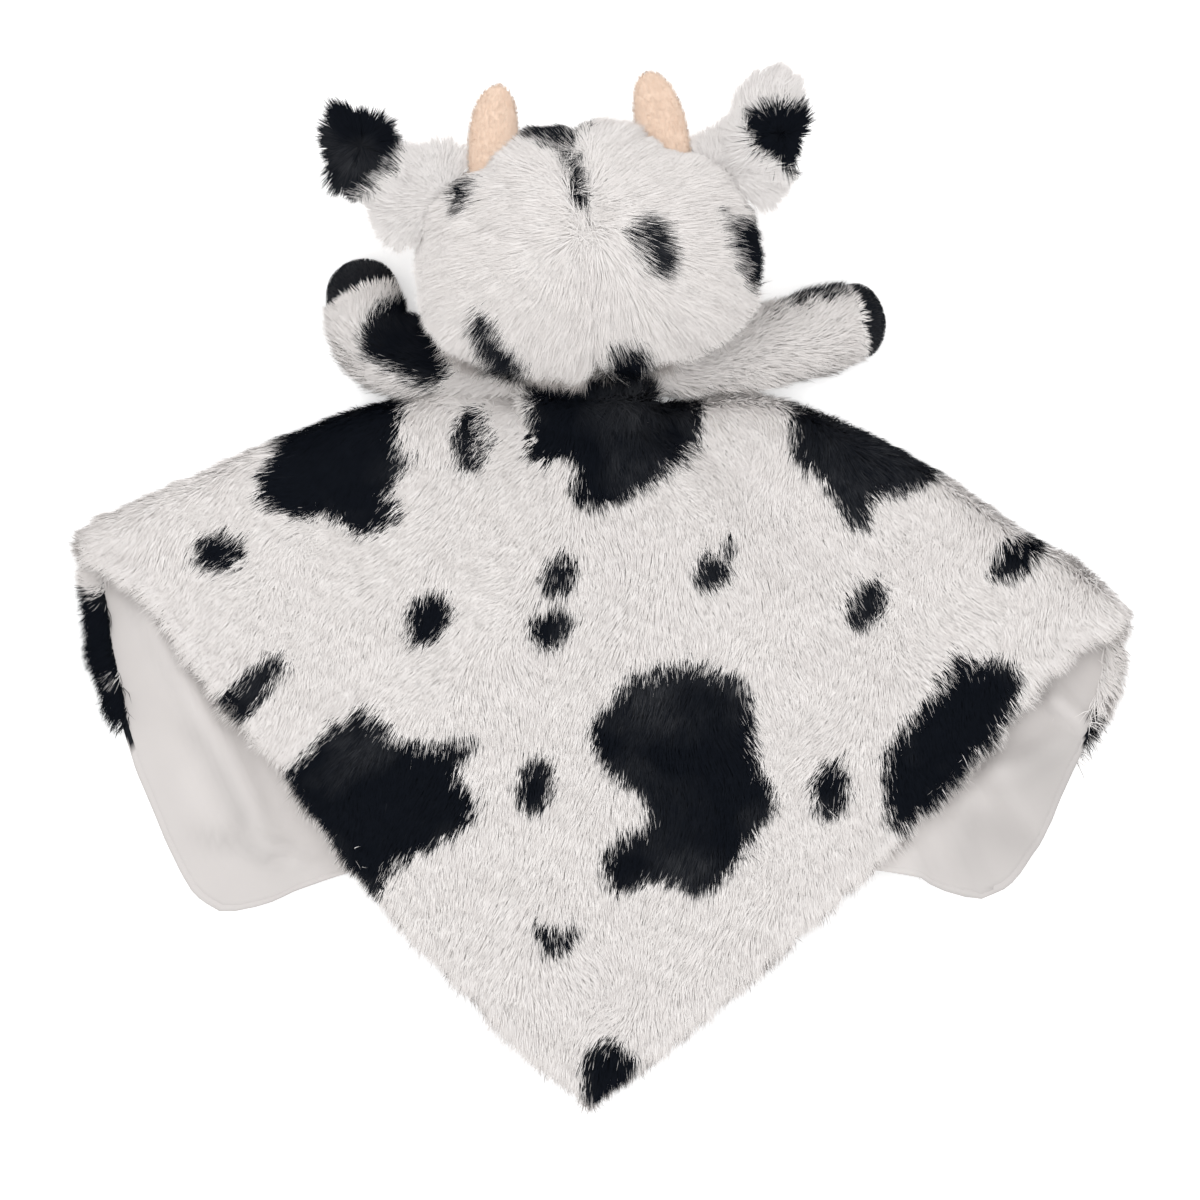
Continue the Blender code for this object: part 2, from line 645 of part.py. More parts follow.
def blanket_grid():
    """Points of the blanket's middle surface, a row for each step from the neck to the hem."""
    stations = blanket_stations()
    hem = [lies(station, 1) for station in stations]
    steps = [(b - a).length for a, b in zip(hem, hem[1:] + hem[:1])]
    round_shares = np.concatenate([[0], np.cumsum(steps)[:-1]]) / sum(steps)
    middle = round_shares[BACK_STEPS]
    turns = [2 * math.pi * (share - middle) for share in round_shares]
    cloth = PLUSH_THICKNESS * NECK_CLOTH_SHARE + SEAM_GAP / 2
    centre = Vector((0, NECK_FACE_Y - cloth, NECK_HEIGHT - NECK_RING_DROP))
    ring = [
        centre
        + Vector((-NECK_RING_HALF_WIDTH * math.sin(turn), 0, NECK_RING_HALF_HEIGHT * math.cos(turn)))
        for turn in turns
    ]
    rows = [[centre.lerp(point, share) for point in ring] for share in RING_ROW_SHARES]
    first = ROW_SHARES[0]
    weights = [0] * len(RING_ROW_SHARES)
    for share in ROW_SHARES:
        stacked = smooth_step(share, first, STACKED_BY_SHARE)
        folded = smooth_step(share, FOLDED_FROM_SHARE, FOLDED_BY_SHARE)
        clear = Vector((0, -NECK_LENGTH * stacked * (1 - folded), 0))
        row = []
        for start, station in zip(ring, stations):
            end = lies(station, share)
            point = start.lerp(end, folded) + clear
            point.z = start.z + (end.z - start.z) * stacked
            row.append(point)
        rows.append(row)
        weights.append(folded)
    return centre, rows, weights


def blanket_surface(offset, from_share):
    """The blanket's open surface from a share of the way to the hem, moved along its normals.

    It also gives each vertex's share of the cloth's full thickness.
    """
    centre, rows, weights = blanket_grid()
    skipped = sum(share < from_share for share in ROW_SHARES)
    if skipped:
        skipped += len(RING_ROW_SHARES)
    bm = bmesh.new()
    grid = [[bm.verts.new(point) for point in row] for row in rows[skipped:]]
    shares = []
    count = len(grid[0])
    for weight in weights[skipped:]:
        shares += [NECK_CLOTH_SHARE + (1 - NECK_CLOTH_SHARE) * weight] * count
    for k in range(count):
        after = (k + 1) % count
        for near, far in zip(grid, grid[1:]):
            bm.faces.new((near[k], near[after], far[after], far[k]))
    if not skipped:
        pole = bm.verts.new(centre)
        shares.append(NECK_CLOTH_SHARE)
        for k in range(count):
            bm.faces.new((pole, grid[0][(k + 1) % count], grid[0][k]))
    bm.normal_update()
    moves = [(vertex, vertex.normal * offset) for vertex in bm.verts]
    for vertex, move in moves:
        vertex.co += move
    return bm, shares


def blanket_piece(name, finish, from_share, thickness, outwards):
    """One layer of the blanket, thinner where it is gathered at the neck."""
    half_gap = SEAM_GAP / 2
    bm, shares = blanket_surface(half_gap if outwards else -half_gap, from_share)
    mesh = bpy.data.meshes.new(name)
    bm.to_mesh(mesh)
    bm.free()
    mesh.shade_smooth()
    mesh.materials.append(finish)
    made = bpy.data.objects.new(name, mesh)
    parts.objects.link(made)
    group = made.vertex_groups.new(name="cloth_share")
    for index, share in enumerate(shares):
        group.add([index], share, "REPLACE")
    solidify(made, thickness, outwards).vertex_group = group.name
    return made


def build_blanket(finishes, table):
    """The plush square and the lining behind it."""
    plush = blanket_piece("blanket_plush", finishes["plush"], 0, PLUSH_THICKNESS, True)
    cut(plush, table)
    lining = finishes["lining"]
    blanket_piece("blanket_lining", lining, LINING_FROM_SHARE, LINING_THICKNESS, False)


def main():
    """Build the lovey."""
    clear_scene()
    finishes = {
        "plush": material("plush_white", PLUSH_WHITE, 0.95),
        "lining": material("lining_white", LINING_WHITE, 0.8),
        "peach": material("velour_peach", VELOUR_PEACH, 0.85),
        "black": material("velour_black", VELOUR_BLACK, 0.85),
        "thread": material("thread_white", THREAD_WHITE, 0.7),
        "filling": material("filling_white", FILLING_WHITE, 1.0),
    }
    reach = BLANKET_SIDE + OVERRUN
    table = cutter("table", box((-reach, -reach, -OVERRUN), (reach, reach, 0)))
    build_blanket(finishes, table)
    neck = empty("neck_pivot", NECK_CENTRE)
    head_frame = build_head(finishes, neck)
    build_muzzle(finishes, head_frame, table)
    build_horns(finishes, head_frame)
    build_ears(finishes, head_frame)
    build_arms(finishes, table)
    build_neck(finishes, neck)


main()
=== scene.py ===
"""Dresses the comfort blanket lovey: a calf head in long plush on a square two-layer blanket.

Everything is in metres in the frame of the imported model: +Z is up from the table, +Y runs from the
blanket to the top of the head, and +X is to the right. The toy lies face down, the front half of
the blanket is folded under the back half, and the camera looks straight down on its back.

Fur is made of strands. A strand is a thin blade of five points: two at its root, two at its middle
and one at its tip. The plush under it, the lining, the horns and the seams are surfaces.
"""

from __future__ import annotations

import logging
import math
from dataclasses import dataclass
from enum import Enum

import bmesh
import bpy
import numpy as np
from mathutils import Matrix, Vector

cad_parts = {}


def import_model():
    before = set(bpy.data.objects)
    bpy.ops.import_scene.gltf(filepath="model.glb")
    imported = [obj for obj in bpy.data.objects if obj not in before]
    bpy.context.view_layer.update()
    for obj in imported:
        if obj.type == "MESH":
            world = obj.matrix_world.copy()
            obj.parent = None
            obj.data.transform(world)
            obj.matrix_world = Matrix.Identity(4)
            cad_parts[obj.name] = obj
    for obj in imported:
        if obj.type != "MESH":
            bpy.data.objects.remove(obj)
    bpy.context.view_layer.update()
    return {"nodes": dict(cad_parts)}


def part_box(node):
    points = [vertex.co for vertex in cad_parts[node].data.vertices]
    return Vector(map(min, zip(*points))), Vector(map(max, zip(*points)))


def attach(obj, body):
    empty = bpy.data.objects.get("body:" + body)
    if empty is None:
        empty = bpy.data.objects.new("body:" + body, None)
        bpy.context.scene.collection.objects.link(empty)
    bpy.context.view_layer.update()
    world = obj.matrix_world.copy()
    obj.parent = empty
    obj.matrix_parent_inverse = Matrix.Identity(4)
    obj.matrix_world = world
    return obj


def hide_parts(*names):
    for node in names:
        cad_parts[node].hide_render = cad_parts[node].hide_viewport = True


Array = np.ndarray
Place = tuple[float, float]
Colour = tuple[float, float, float]
Finishes = dict[str, bpy.types.Material]
MM = 0.001
FULL_TURN = 2 * math.pi
UP = (0.0, 0.0, 1.0)
TINY = 1e-12
TABLE_CLEARANCE = 0.3 * MM
MERGE_WITHIN = 0.002 * MM
LOG = logging.getLogger("lovey")


class Body(Enum):
    """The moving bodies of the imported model."""

    BLANKET = "blanket"
    NECK = "neck"
    HEAD = "head"
    EAR_LEFT = "ear_left"
    EAR_RIGHT = "ear_right"
    ARM_LEFT = "arm_left"
    ARM_RIGHT = "arm_right"


class Side(Enum):
    """The two sides of the toy, as seen on its back, with the sign of X there."""

    LEFT = -1
    RIGHT = 1

    @property
    def word(self) -> str:
        """The side's name as the pieces' names have it."""
        return self.name.lower()


def smooth(value: Array, start: float, end: float) -> Array:
    """0 before start, 1 after end, and 3 s squared less 2 s cubed between, s being the share."""
    share = np.clip((value - start) / (end - start), 0, 1)
    return share * share * (3 - 2 * share)


def between(value: Array, start: float, risen: float, falls: float, end: float) -> Array:
    """1 from risen to falls, 0 before start and after end, and smooth steps between."""
    return smooth(value, start, risen) * (1 - smooth(value, falls, end))


def unit(vectors: Array) -> Array:
    """Each vector divided by its own length."""
    return vectors / np.maximum(np.linalg.norm(vectors, axis=-1, keepdims=True), TINY)


def bell(off: Array, width: float) -> Array:
    """A bell curve: e to the power of less the square of off over width."""
    return np.exp(-((off / width) ** 2))


def wrapped(degrees: Array) -> Array:
    """The same angles, from -180 to 180."""
    return (degrees + 180) % 360 - 180


def globe(polar: Array, azimuth: Array) -> Array:
    """Points (sine p cosine a, sine p sine a, cosine p), a row for each p and a column for each a."""
    p, a = polar[:, None], azimuth[None, :]
    return np.stack([np.sin(p) * np.cos(a), np.sin(p) * np.sin(a), np.cos(p) + 0 * a], axis=-1)


def gaps_from(places: Array, corners: Array) -> Array:
    """The way to each place from the nearest point of each step between two corners."""
    steps = np.diff(corners, axis=0)
    off = places[..., None, :] - corners[:-1]
    share = np.clip((off * steps).sum(-1) / (steps**2).sum(-1), 0, 1)
    return off - share[..., None] * steps


def from_line(places: Array, line: tuple[Place, ...]) -> Array:
    """How far each place is from a run of straight steps."""
    return np.linalg.norm(gaps_from(places, np.array(line, float)), axis=-1).min(axis=-1)


def flattened(vectors: Array, normals: Array) -> Array:
    """Each vector less its part along the normal, then made a unit."""
    return unit(vectors - normals * (vectors * normals).sum(axis=-1, keepdims=True))


def ripple(places: Array, size: float, seed: int, waves: int = 7) -> Array:
    """An even, wandering value at each place, mostly between -1 and 1.

    It is a sum of sine waves that run in random ways, with lengths near the given size.

    Args:
        places: points, with their coordinates last.
        size: the wavelength that the waves are near.
        seed: chooses the waves.
        waves: how many are summed.

    Returns:
        One value for each place.
    """
    draw = np.random.default_rng(seed)
    ways = unit(draw.normal(size=(waves, places.shape[-1])))
    ways *= FULL_TURN / size * draw.uniform(0.6, 1.5, (waves, 1))
    phases = draw.uniform(0, FULL_TURN, waves)
    return np.sin(places @ ways.T + phases).sum(axis=-1) / math.sqrt(waves)


def wander(places: Array, size: float, seed: int) -> Array:
    """A vector of three ripples at each place."""
    return np.stack([ripple(places, size, seed + k) for k in range(3)], axis=-1)


def curve_through(knots: Array, count: int) -> Array:
    """Points of an even curve through the knots.

    Between two knots it is the Catmull-Rom cubic: half of the sum of 2 b, (c - a) t,
    (2 a - 5 b + 4 c - d) t squared and (3 b - a - 3 c + d) t cubed, for the four knots around.
    """
    padded = np.vstack([2 * knots[0] - knots[1], knots, 2 * knots[-1] - knots[-2]])
    at = np.linspace(0, len(knots) - 1, count)
    first = np.minimum(at.astype(int), len(knots) - 2)
    t = (at - first)[:, None]
    a, b, c, d = (padded[first + k] for k in range(4))
    return (2 * b + (c - a) * t + (2 * a - 5 * b + 4 * c - d) * t**2 + (3 * b - a - 3 * c + d) * t**3) / 2


def turned(points: Array, degrees: float) -> Array:
    """The points turned about Z, anticlockwise as seen from above."""
    cosine, sine = math.cos(math.radians(degrees)), math.sin(math.radians(degrees))
    x, y, z = np.moveaxis(points, -1, 0)
    return np.stack([x * cosine - y * sine, x * sine + y * cosine, z], axis=-1)


def above_table(points: Array) -> Array:
    """The points, with those that are lower lifted to just above the table."""
    lifted = points.copy()
    lifted[..., 2] = np.maximum(lifted[..., 2], TABLE_CLEARANCE)
    return lifted


@dataclass(frozen=True)
class Photo:
    """The photograph's frame, which the camera repeats."""

    side_pixels: float = 1200.0
    origin_x: float = 587.0
    origin_y: float = 269.3
    pixel_size: float = 0.344 * MM
    sharp_height: float = 30.0 * MM
    camera_distance: float = 3.0
    sensor: float = 36.0
    clip_end: float = 20.0

    @property
    def centre(self) -> tuple[float, float]:
        """The place under the middle of the frame."""
        half = self.side_pixels / 2
        return (half - self.origin_x) * self.pixel_size, (self.origin_y - half) * self.pixel_size

    def pixels(self, points: Array) -> Array:
        """Where points are seen in the photograph.

        A point's distance from the frame's middle grows by the camera's distance over its height
        below the camera.

        Args:
            points: places in metres.

        Returns:
            Across and down, in pixels.
        """
        x, y = self.centre
        grown = self.camera_distance / (self.camera_distance + self.sharp_height - points[..., 2])
        across = self.side_pixels / 2 + (points[..., 0] - x) / self.pixel_size * grown
        down = self.side_pixels / 2 - (points[..., 1] - y) / self.pixel_size * grown
        return np.stack([across, down], axis=-1)

    def places(self, pixels: Array, heights: Array) -> Array:
        """Where on the level of each height the given pixels lie, across and up in metres."""
        x, y = self.centre
        away = self.camera_distance + self.sharp_height - heights
        shrunk = self.pixel_size * away / self.camera_distance
        across = x + (pixels[..., 0] - self.side_pixels / 2) * shrunk
        up = y - (pixels[..., 1] - self.side_pixels / 2) * shrunk
        return np.stack([across, up], axis=-1)

    def set_camera(self) -> None:
        """A camera straight above, whose frame holds what the photograph holds."""
        data = bpy.data.cameras.new("camera")
        data.sensor_width = self.sensor
        data.lens = self.sensor * self.camera_distance / (self.side_pixels * self.pixel_size)
        data.clip_end = self.clip_end
        camera = bpy.data.objects.new("camera", data)
        camera.location = (*self.centre, self.camera_distance + self.sharp_height)
        bpy.context.scene.collection.objects.link(camera)
        bpy.context.scene.camera = camera


PHOTO = Photo()


@dataclass(frozen=True)
class Patch:
    """A black patch, by the points of its outline in the photograph's pixels."""

    name: str
    outline: tuple[Place, ...]
    margin: float = 60.0
    far: float = 1000.0

    def edge(self) -> Array:
        """The outline with its corners cut twice, at a quarter of each side from its ends."""
        points = np.array(self.outline, float)
        for _ in range(2):
            after = np.roll(points, -1, axis=0)
            points = np.stack([0.75 * points + 0.25 * after, 0.25 * points + 0.75 * after], axis=1)
            points = points.reshape(-1, 2)
        return points

    def depth(self, places: Array) -> Array:
        """How far outside the outline each place is, in pixels, or less than 0 inside.

        The distance is the least one to the outline's sides. A place is inside where a line to the
        right crosses the sides an odd number of times. Beyond the margin all places are far.
        """
        edge = self.edge()
        result = np.full(len(places), self.far)
        low, high = edge.min(axis=0) - self.margin, edge.max(axis=0) + self.margin
        near = np.all((places > low) & (places < high), axis=1)
        if not near.any():
            return result
        spots = places[near]
        x, y = spots[:, :1], spots[:, 1:]
        distance = np.linalg.norm(gaps_from(spots, np.vstack([edge, edge[:1]])), axis=-1).min(axis=1)
        after = np.roll(edge, -1, axis=0)
        run, rise = (after - edge).T
        level = (edge[:, 1] > y) != (after[:, 1] > y)
        crossing = edge[:, 0] + (y - edge[:, 1]) * run / np.where(rise == 0, TINY, rise)
        inside = (level & (x < crossing)).sum(axis=1) % 2 == 1
        result[near] = np.where(inside, -distance, distance)
        return result


def oval(name: str, x: float, y: float, half_width: float, half_height: float, turn: float = 0) -> Patch:
    """A patch that is an ellipse, turned clockwise by some degrees."""
    angles = np.linspace(0, FULL_TURN, 10, endpoint=False)
    across, down = half_width * np.cos(angles), half_height * np.sin(angles)
    cosine, sine = math.cos(math.radians(turn)), math.sin(math.radians(turn))
    places = zip(x + across * cosine - down * sine, y + across * sine + down * cosine)
    return Patch(name, tuple((float(a), float(b)) for a, b in places))


BLANKET_PATCHES = (
    Patch("left shoulder", (
        (395, 366), (414, 398), (400, 424), (401, 450), (416, 460), (396, 484), (389, 499), (411, 513),
        (391, 527), (364, 538), (348, 527), (329, 515), (301, 520), (271, 511), (256, 494), (262, 470),
        (278, 440), (300, 412), (350, 380),
    )),
    oval("beside shoulder", 472, 441, 20, 35),
    Patch("below head", (
        (528, 350), (527, 388), (530, 429), (526, 456), (544, 465), (572, 459), (577, 476), (568, 497),
        (585, 509), (617, 504), (647, 488), (667, 470), (694, 452), (703, 429), (702, 399), (691, 375),
        (690, 350),
    )),
    Patch("right shoulder", (
        (784, 380), (788, 400), (790, 423), (790, 452), (805, 473), (823, 482), (837, 508), (852, 532),
        (872, 528), (867, 508), (878, 495), (905, 494), (928, 482), (950, 474), (960, 456), (915, 432),
        (860, 402), (810, 384),
    )),
    oval("far left", 220, 551, 29, 20, -10),
    oval("left middle", 430, 618, 25, 29, 25),
    oval("pair, upper", 560, 575, 17, 27, 20),
    oval("pair, lower", 552, 626, 24, 20, -30),
    oval("small with a tail", 710, 571, 19, 20, 20),
    oval("tail of the small one", 727, 549, 7, 14, 25),
    oval("right middle", 865, 604, 19, 29, 25),
    oval("far right", 1018, 556, 36, 17, -35),
    Patch("left of the big one", (
        (245, 670), (261, 654), (281, 652), (287, 664), (277, 684), (268, 700), (251, 716), (233, 722),
        (219, 698), (234, 688),
    )),
    Patch("lower left", (
        (344, 721), (353, 710), (368, 707), (384, 721), (395, 732), (413, 742), (435, 744), (455, 737),
        (478, 735), (479, 748), (466, 758), (458, 771), (467, 786), (478, 799), (477, 818), (460, 833),
        (431, 851), (404, 862), (388, 871), (390, 885), (378, 899), (366, 905), (340, 880), (312, 838),
        (285, 800), (284, 772), (298, 756), (315, 745), (324, 728),
    )),
    oval("middle of the lower half", 535, 784, 20, 31, 12),
    Patch("lower right", (
        (634, 674), (664, 666), (694, 659), (720, 669), (738, 671), (751, 688), (755, 712), (753, 735),
        (760, 761), (775, 783), (778, 806), (764, 825), (747, 846), (738, 866), (721, 879), (699, 899),
        (681, 892), (674, 882), (653, 882), (623, 893), (605, 883), (599, 859), (614, 839), (634, 830),
        (646, 820), (645, 805), (636, 792), (619, 783), (601, 768), (590, 744), (592, 720), (601, 703),
        (616, 692),
    )),
    oval("beside lower right", 831, 789, 20, 31, 8),
    Patch("right edge", (
        (950, 650), (959, 648), (967, 662), (983, 657), (1004, 654), (1018, 665), (1023, 683),
        (1016, 708), (1000, 726), (993, 743), (976, 755), (969, 773), (955, 787), (942, 804),
        (916, 820), (901, 831), (890, 824), (883, 804), (880, 775), (885, 750), (898, 730), (912, 712),
        (930, 695), (942, 681),
    )),
    Patch("crescent", ((533, 921), (545, 929), (560, 930), (580, 920), (576, 942), (551, 960), (535, 941))),
    oval("back corner", 609, 1076, 30, 38),
)

BLANKET_FROST = (
    oval("left shoulder's edge", 408, 428, 9, 30),
    oval("left shoulder's corner", 402, 506, 10, 11),
    oval("beside shoulder, right", 484, 432, 11, 28, 12),
    oval("pair, upper right", 570, 552, 9, 14, 20),
    oval("left of the big one, middle", 270, 682, 4, 14, 20),
    oval("lower left, tip", 470, 742, 14, 6),
    oval("crescent, above", 554, 926, 12, 5),
)

HEAD_FROST = (
    oval("right of the middle, left side", 636, 250, 12, 22, -24),
    oval("parting, left side", 568, 172, 6, 20),
    oval("left horn's foot, inner", 474, 196, 8, 12),
    oval("lower left, right side", 520, 340, 10, 24, -35),
    oval("lower middle", 634, 384, 18, 10),
    oval("lower right", 714, 366, 12, 14),
)


FRONT_EDGE_PATCHES = (
    Patch("left edge", (
        (52, 576), (90, 590), (135, 604), (150, 664), (122, 670), (116, 674), (122, 678), (150, 684),
        (152, 742), (120, 747), (70, 745), (48, 650),
    )),
    Patch("right edge", ((1102, 716), (1090, 718), (1080, 750), (1088, 758), (1101, 740))),
)


HEAD_PATCHES = (
    Patch("crown", (
        (514, 136), (515, 116), (540, 98), (575, 92), (600, 108), (590, 122), (578, 134), (570, 146),
        (557, 153), (542, 148), (528, 142),
    )),
    Patch("left horn's foot", ((455, 182), (470, 178), (482, 186), (476, 200), (462, 214), (454, 208))),
    Patch("parting", (
        (562, 149), (574, 154), (583, 168), (583, 186), (590, 208), (584, 212), (574, 200), (568, 188),
        (570, 172), (563, 160),
    )),
    oval("right of the middle", 650, 245, 20, 33, -25),
    oval("right of the middle, tail", 627, 232, 8, 4),
    Patch("lower left", (
        (476, 312), (488, 308), (500, 322), (514, 342), (530, 362), (530, 374), (512, 377), (494, 370),
        (480, 346), (472, 326),
    )),
    Patch("lower middle", ((603, 340), (622, 342), (650, 344), (653, 400), (630, 404), (603, 402))),
    oval("lower right", 712, 364, 15, 20),
    Patch("right cheek", (
        (716, 204), (736, 222), (748, 204), (775, 208), (782, 250), (775, 292), (750, 292), (738, 274),
        (727, 252), (720, 228),
    )),
)


def blackness(patches: tuple[Patch, ...], places: Array) -> Array:
    """How far outside the nearest patch each place is, in pixels, or less than 0 inside one."""
    return np.min([patch.depth(places) for patch in patches], axis=0)


@dataclass
class Roots:
    """Places on a surface that strands grow from, with what the surface does there."""

    points: Array
    normals: Array
    ways: Array
    rows: Array
    columns: Array


@dataclass
class Surface:
    """A grid of points, rows by columns, whose columns may run once round."""

    points: Array
    closed: bool = False
    facing: float = 1.0

    def normals(self) -> Array:
        """The cross product of the steps down the rows and across the columns, as units.

        At a pole, where a row is one point, it is the mean of the next row's.
        """
        down = np.gradient(self.points, axis=0)
        if self.closed:
            across = np.roll(self.points, -1, axis=1) - np.roll(self.points, 1, axis=1)
        else:
            across = np.gradient(self.points, axis=1)
        raw = np.cross(down, across) * self.facing
        for pole, beside in ((0, 1), (-1, -2)):
            if np.ptp(self.points[pole], axis=0).max() < MERGE_WITHIN:
                raw[pole] = unit(raw[beside]).mean(axis=0)
        return unit(raw)

    def moved(self, distance: float | Array) -> "Surface":
        """The surface moved along its normals, by one distance or one for each point."""
        by = np.broadcast_to(distance, self.points.shape[:2])[..., None]
        return Surface(self.points + self.normals() * by, self.closed, self.facing)

    def faces(self, start: int = 0) -> Array:
        """The four corners of each cell, as numbers of points counted from start."""
        rows, columns = self.points.shape[:2]
        number = start + np.arange(rows * columns).reshape(rows, columns)
        beside = np.roll(number, -1, axis=1)
        last = columns if self.closed else columns - 1
        corners = (number[:-1, :last], number[1:, :last], beside[1:, :last], beside[:-1, :last])
        order = corners if self.facing > 0 else corners[::-1]
        return np.stack(order, axis=-1).reshape(-1, 4)

    def rims(self) -> list[Array]:
        """Each open edge, as a run of numbers of points that closes where the columns do."""
        rows, columns = self.points.shape[:2]
        number = np.arange(rows * columns).reshape(rows, columns)
        if not self.closed:
            return [np.concatenate([number[0], number[1:, -1], number[-1, -2::-1], number[-2::-1, 0]])]
        ends = [number[end] for end in (0, -1) if np.ptp(self.points[end], axis=0).max() >= MERGE_WITHIN]
        return [np.append(end, end[0]) for end in ends]

    def scatter(self, count: int, draw: np.random.Generator, weight: Array | float = 1.0) -> Roots:
        """Random places on the surface, as many to each cell as its area times its weight asks.

        Args:
            count: how many places.
            draw: the random numbers.
            weight: one value for each point of the grid, or one for all.

        Returns:
            The places, with values blended evenly between the corners of their cells.
        """
        points, normals = self.points, self.normals()
        ways = unit(np.gradient(points, axis=0))
        rows, columns = points.shape[:2]
        last = columns if self.closed else columns - 1
        weights = np.broadcast_to(weight, (rows, columns))
        a, b = points[:-1, :last], points[1:, :last]
        beside = np.roll(points, -1, axis=1)
        c, d = beside[1:, :last], beside[:-1, :last]
        area = np.linalg.norm(np.cross(c - a, d - b), axis=-1) * weights[:-1, :last]
        chance = np.cumsum(area)
        cell = np.searchsorted(chance, draw.random(count) * chance[-1])
        row, column = np.divmod(np.minimum(cell, area.size - 1), last)
        down, across = draw.random((2, count))
        after = (column + 1) % columns

        def blend(values: Array) -> Array:
            near = values[row, column] * (1 - across)[:, None] + values[row, after] * across[:, None]
            far = values[row + 1, column] * (1 - across)[:, None] + values[row + 1, after] * across[:, None]
            return near * (1 - down)[:, None] + far * down[:, None]

        return Roots(
            blend(points), unit(blend(normals)), unit(blend(ways)),
            (row + down) / (rows - 1), (column + across) / columns,
        )


def mesh_of(name: str, points: Array, faces: Array) -> bpy.types.Mesh:
    """A mesh from an array of points and an array of equal faces."""
    mesh = bpy.data.meshes.new(name)
    mesh.vertices.add(len(points))
    mesh.vertices.foreach_set("co", points.astype(np.float32).ravel())
    mesh.loops.add(faces.size)
    mesh.loops.foreach_set("vertex_index", faces.astype(np.int32).ravel())
    mesh.polygons.add(len(faces))
    mesh.polygons.foreach_set("loop_start", np.arange(0, faces.size, faces.shape[1], dtype=np.int32))
    mesh.update(calc_edges=True)
    mesh.shade_smooth()
    return mesh


def set_values(mesh: bpy.types.Mesh, **values: Array) -> None:
    """Store a value for each point of a mesh, under each given name."""
    for name, numbers in values.items():
        layer = mesh.attributes.new(name, "FLOAT", "POINT")
        layer.data.foreach_set("value", np.asarray(numbers, np.float32).ravel())


def points_of(mesh: bpy.types.Mesh) -> Array:
    """The places of a mesh's points."""
    flat = np.empty(3 * len(mesh.vertices), np.float32)
    mesh.vertices.foreach_get("co", flat)
    return flat.reshape(-1, 3).astype(float)


def black_on(surface: Surface, patches: tuple[Patch, ...]) -> Array:
    """Which points of a surface are seen inside a patch."""
    seen = PHOTO.pixels(surface.points.reshape(-1, 3))
    return (blackness(patches, seen) < 0).reshape(surface.points.shape[:2])


def above_surface(surface: Surface) -> Surface:
    """The surface with nothing of it below the table."""
    return Surface(above_table(surface.points), surface.closed, surface.facing)


def placed(
    mesh: bpy.types.Mesh,
    finish: bpy.types.Material,
    body: Body,
    replaces: str | None = None,
) -> bpy.types.Object:
    """An object of the mesh's name, riding on a body.

    Args:
        mesh: a finished mesh.
        finish: its material.
        body: what it rides on.
        replaces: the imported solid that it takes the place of, if any.

    Returns:
        The object.
    """
    mesh.materials.append(finish)
    made = bpy.data.objects.new(mesh.name, mesh)
    bpy.context.scene.collection.objects.link(made)
    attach(made, body.value)
    if replaces:
        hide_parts(replaces)
    LOG.info("%s: %d faces", made.name, len(mesh.polygons))
    return made


def cleaned(mesh: bpy.types.Mesh) -> bpy.types.Mesh:
    """The mesh with its doubled points merged and its faces pointing outwards."""
    bm = bmesh.new()
    bm.from_mesh(mesh)
    bmesh.ops.remove_doubles(bm, verts=bm.verts, dist=MERGE_WITHIN)
    bmesh.ops.recalc_face_normals(bm, faces=bm.faces)
    bm.to_mesh(mesh)
    bm.free()
    mesh.shade_smooth()
    return mesh


def shell(name: str, outer: Surface, inner: Surface, tone: Array | float = 0.0) -> bpy.types.Mesh:
    """A closed layer of cloth between two surfaces, with walls between their open edges.

    Args:
        name: the mesh's name.
        outer: the side that faces outwards.
        inner: the side behind it, with as many points.
        tone: how black the cloth is, for each point or for all.

    Returns:
        The closed mesh, with the tone stored on it.
    """
    count = outer.points.shape[0] * outer.points.shape[1]
    points = np.vstack([outer.points.reshape(-1, 3), inner.points.reshape(-1, 3)])
    faces = [outer.faces(), inner.faces(count)[:, ::-1]]
    for rim in outer.rims():
        near, far = rim[:-1], rim[1:]
        faces.append(np.stack([near, far, far + count, near + count], axis=1))
    mesh = mesh_of(name, points, np.vstack(faces))
    tones = np.broadcast_to(tone, outer.points.shape[:2])
    set_values(mesh, tone=np.concatenate([tones.ravel(), tones.ravel()]))
    return cleaned(mesh)


def tube(centres: Array, ups: Array, wide: Array, high: Array, segments: int) -> Surface:
    """A surface round a path, oval across it.

    A ring's point is its centre, plus the side way times wide times the cosine, plus the up way
    times high times the sine, of an angle that goes once round.

    Args:
        centres: points of the path.
        ups: the way that is up at each of them.
        wide: half of the width there.
        high: half of the height there.
        segments: points in a ring.

    Returns:
        The surface, a row for each point of the path.
    """
    ways = unit(np.gradient(centres, axis=0))
    sides = unit(np.cross(ways, ups))
    ups = np.cross(sides, ways)
    angles = np.linspace(0, FULL_TURN, segments, endpoint=False)
    ring = sides[:, None] * (wide[:, None] * np.cos(angles))[..., None]
    ring = ring + ups[:, None] * (high[:, None] * np.sin(angles))[..., None]
    return Surface(centres[:, None] + ring, closed=True)


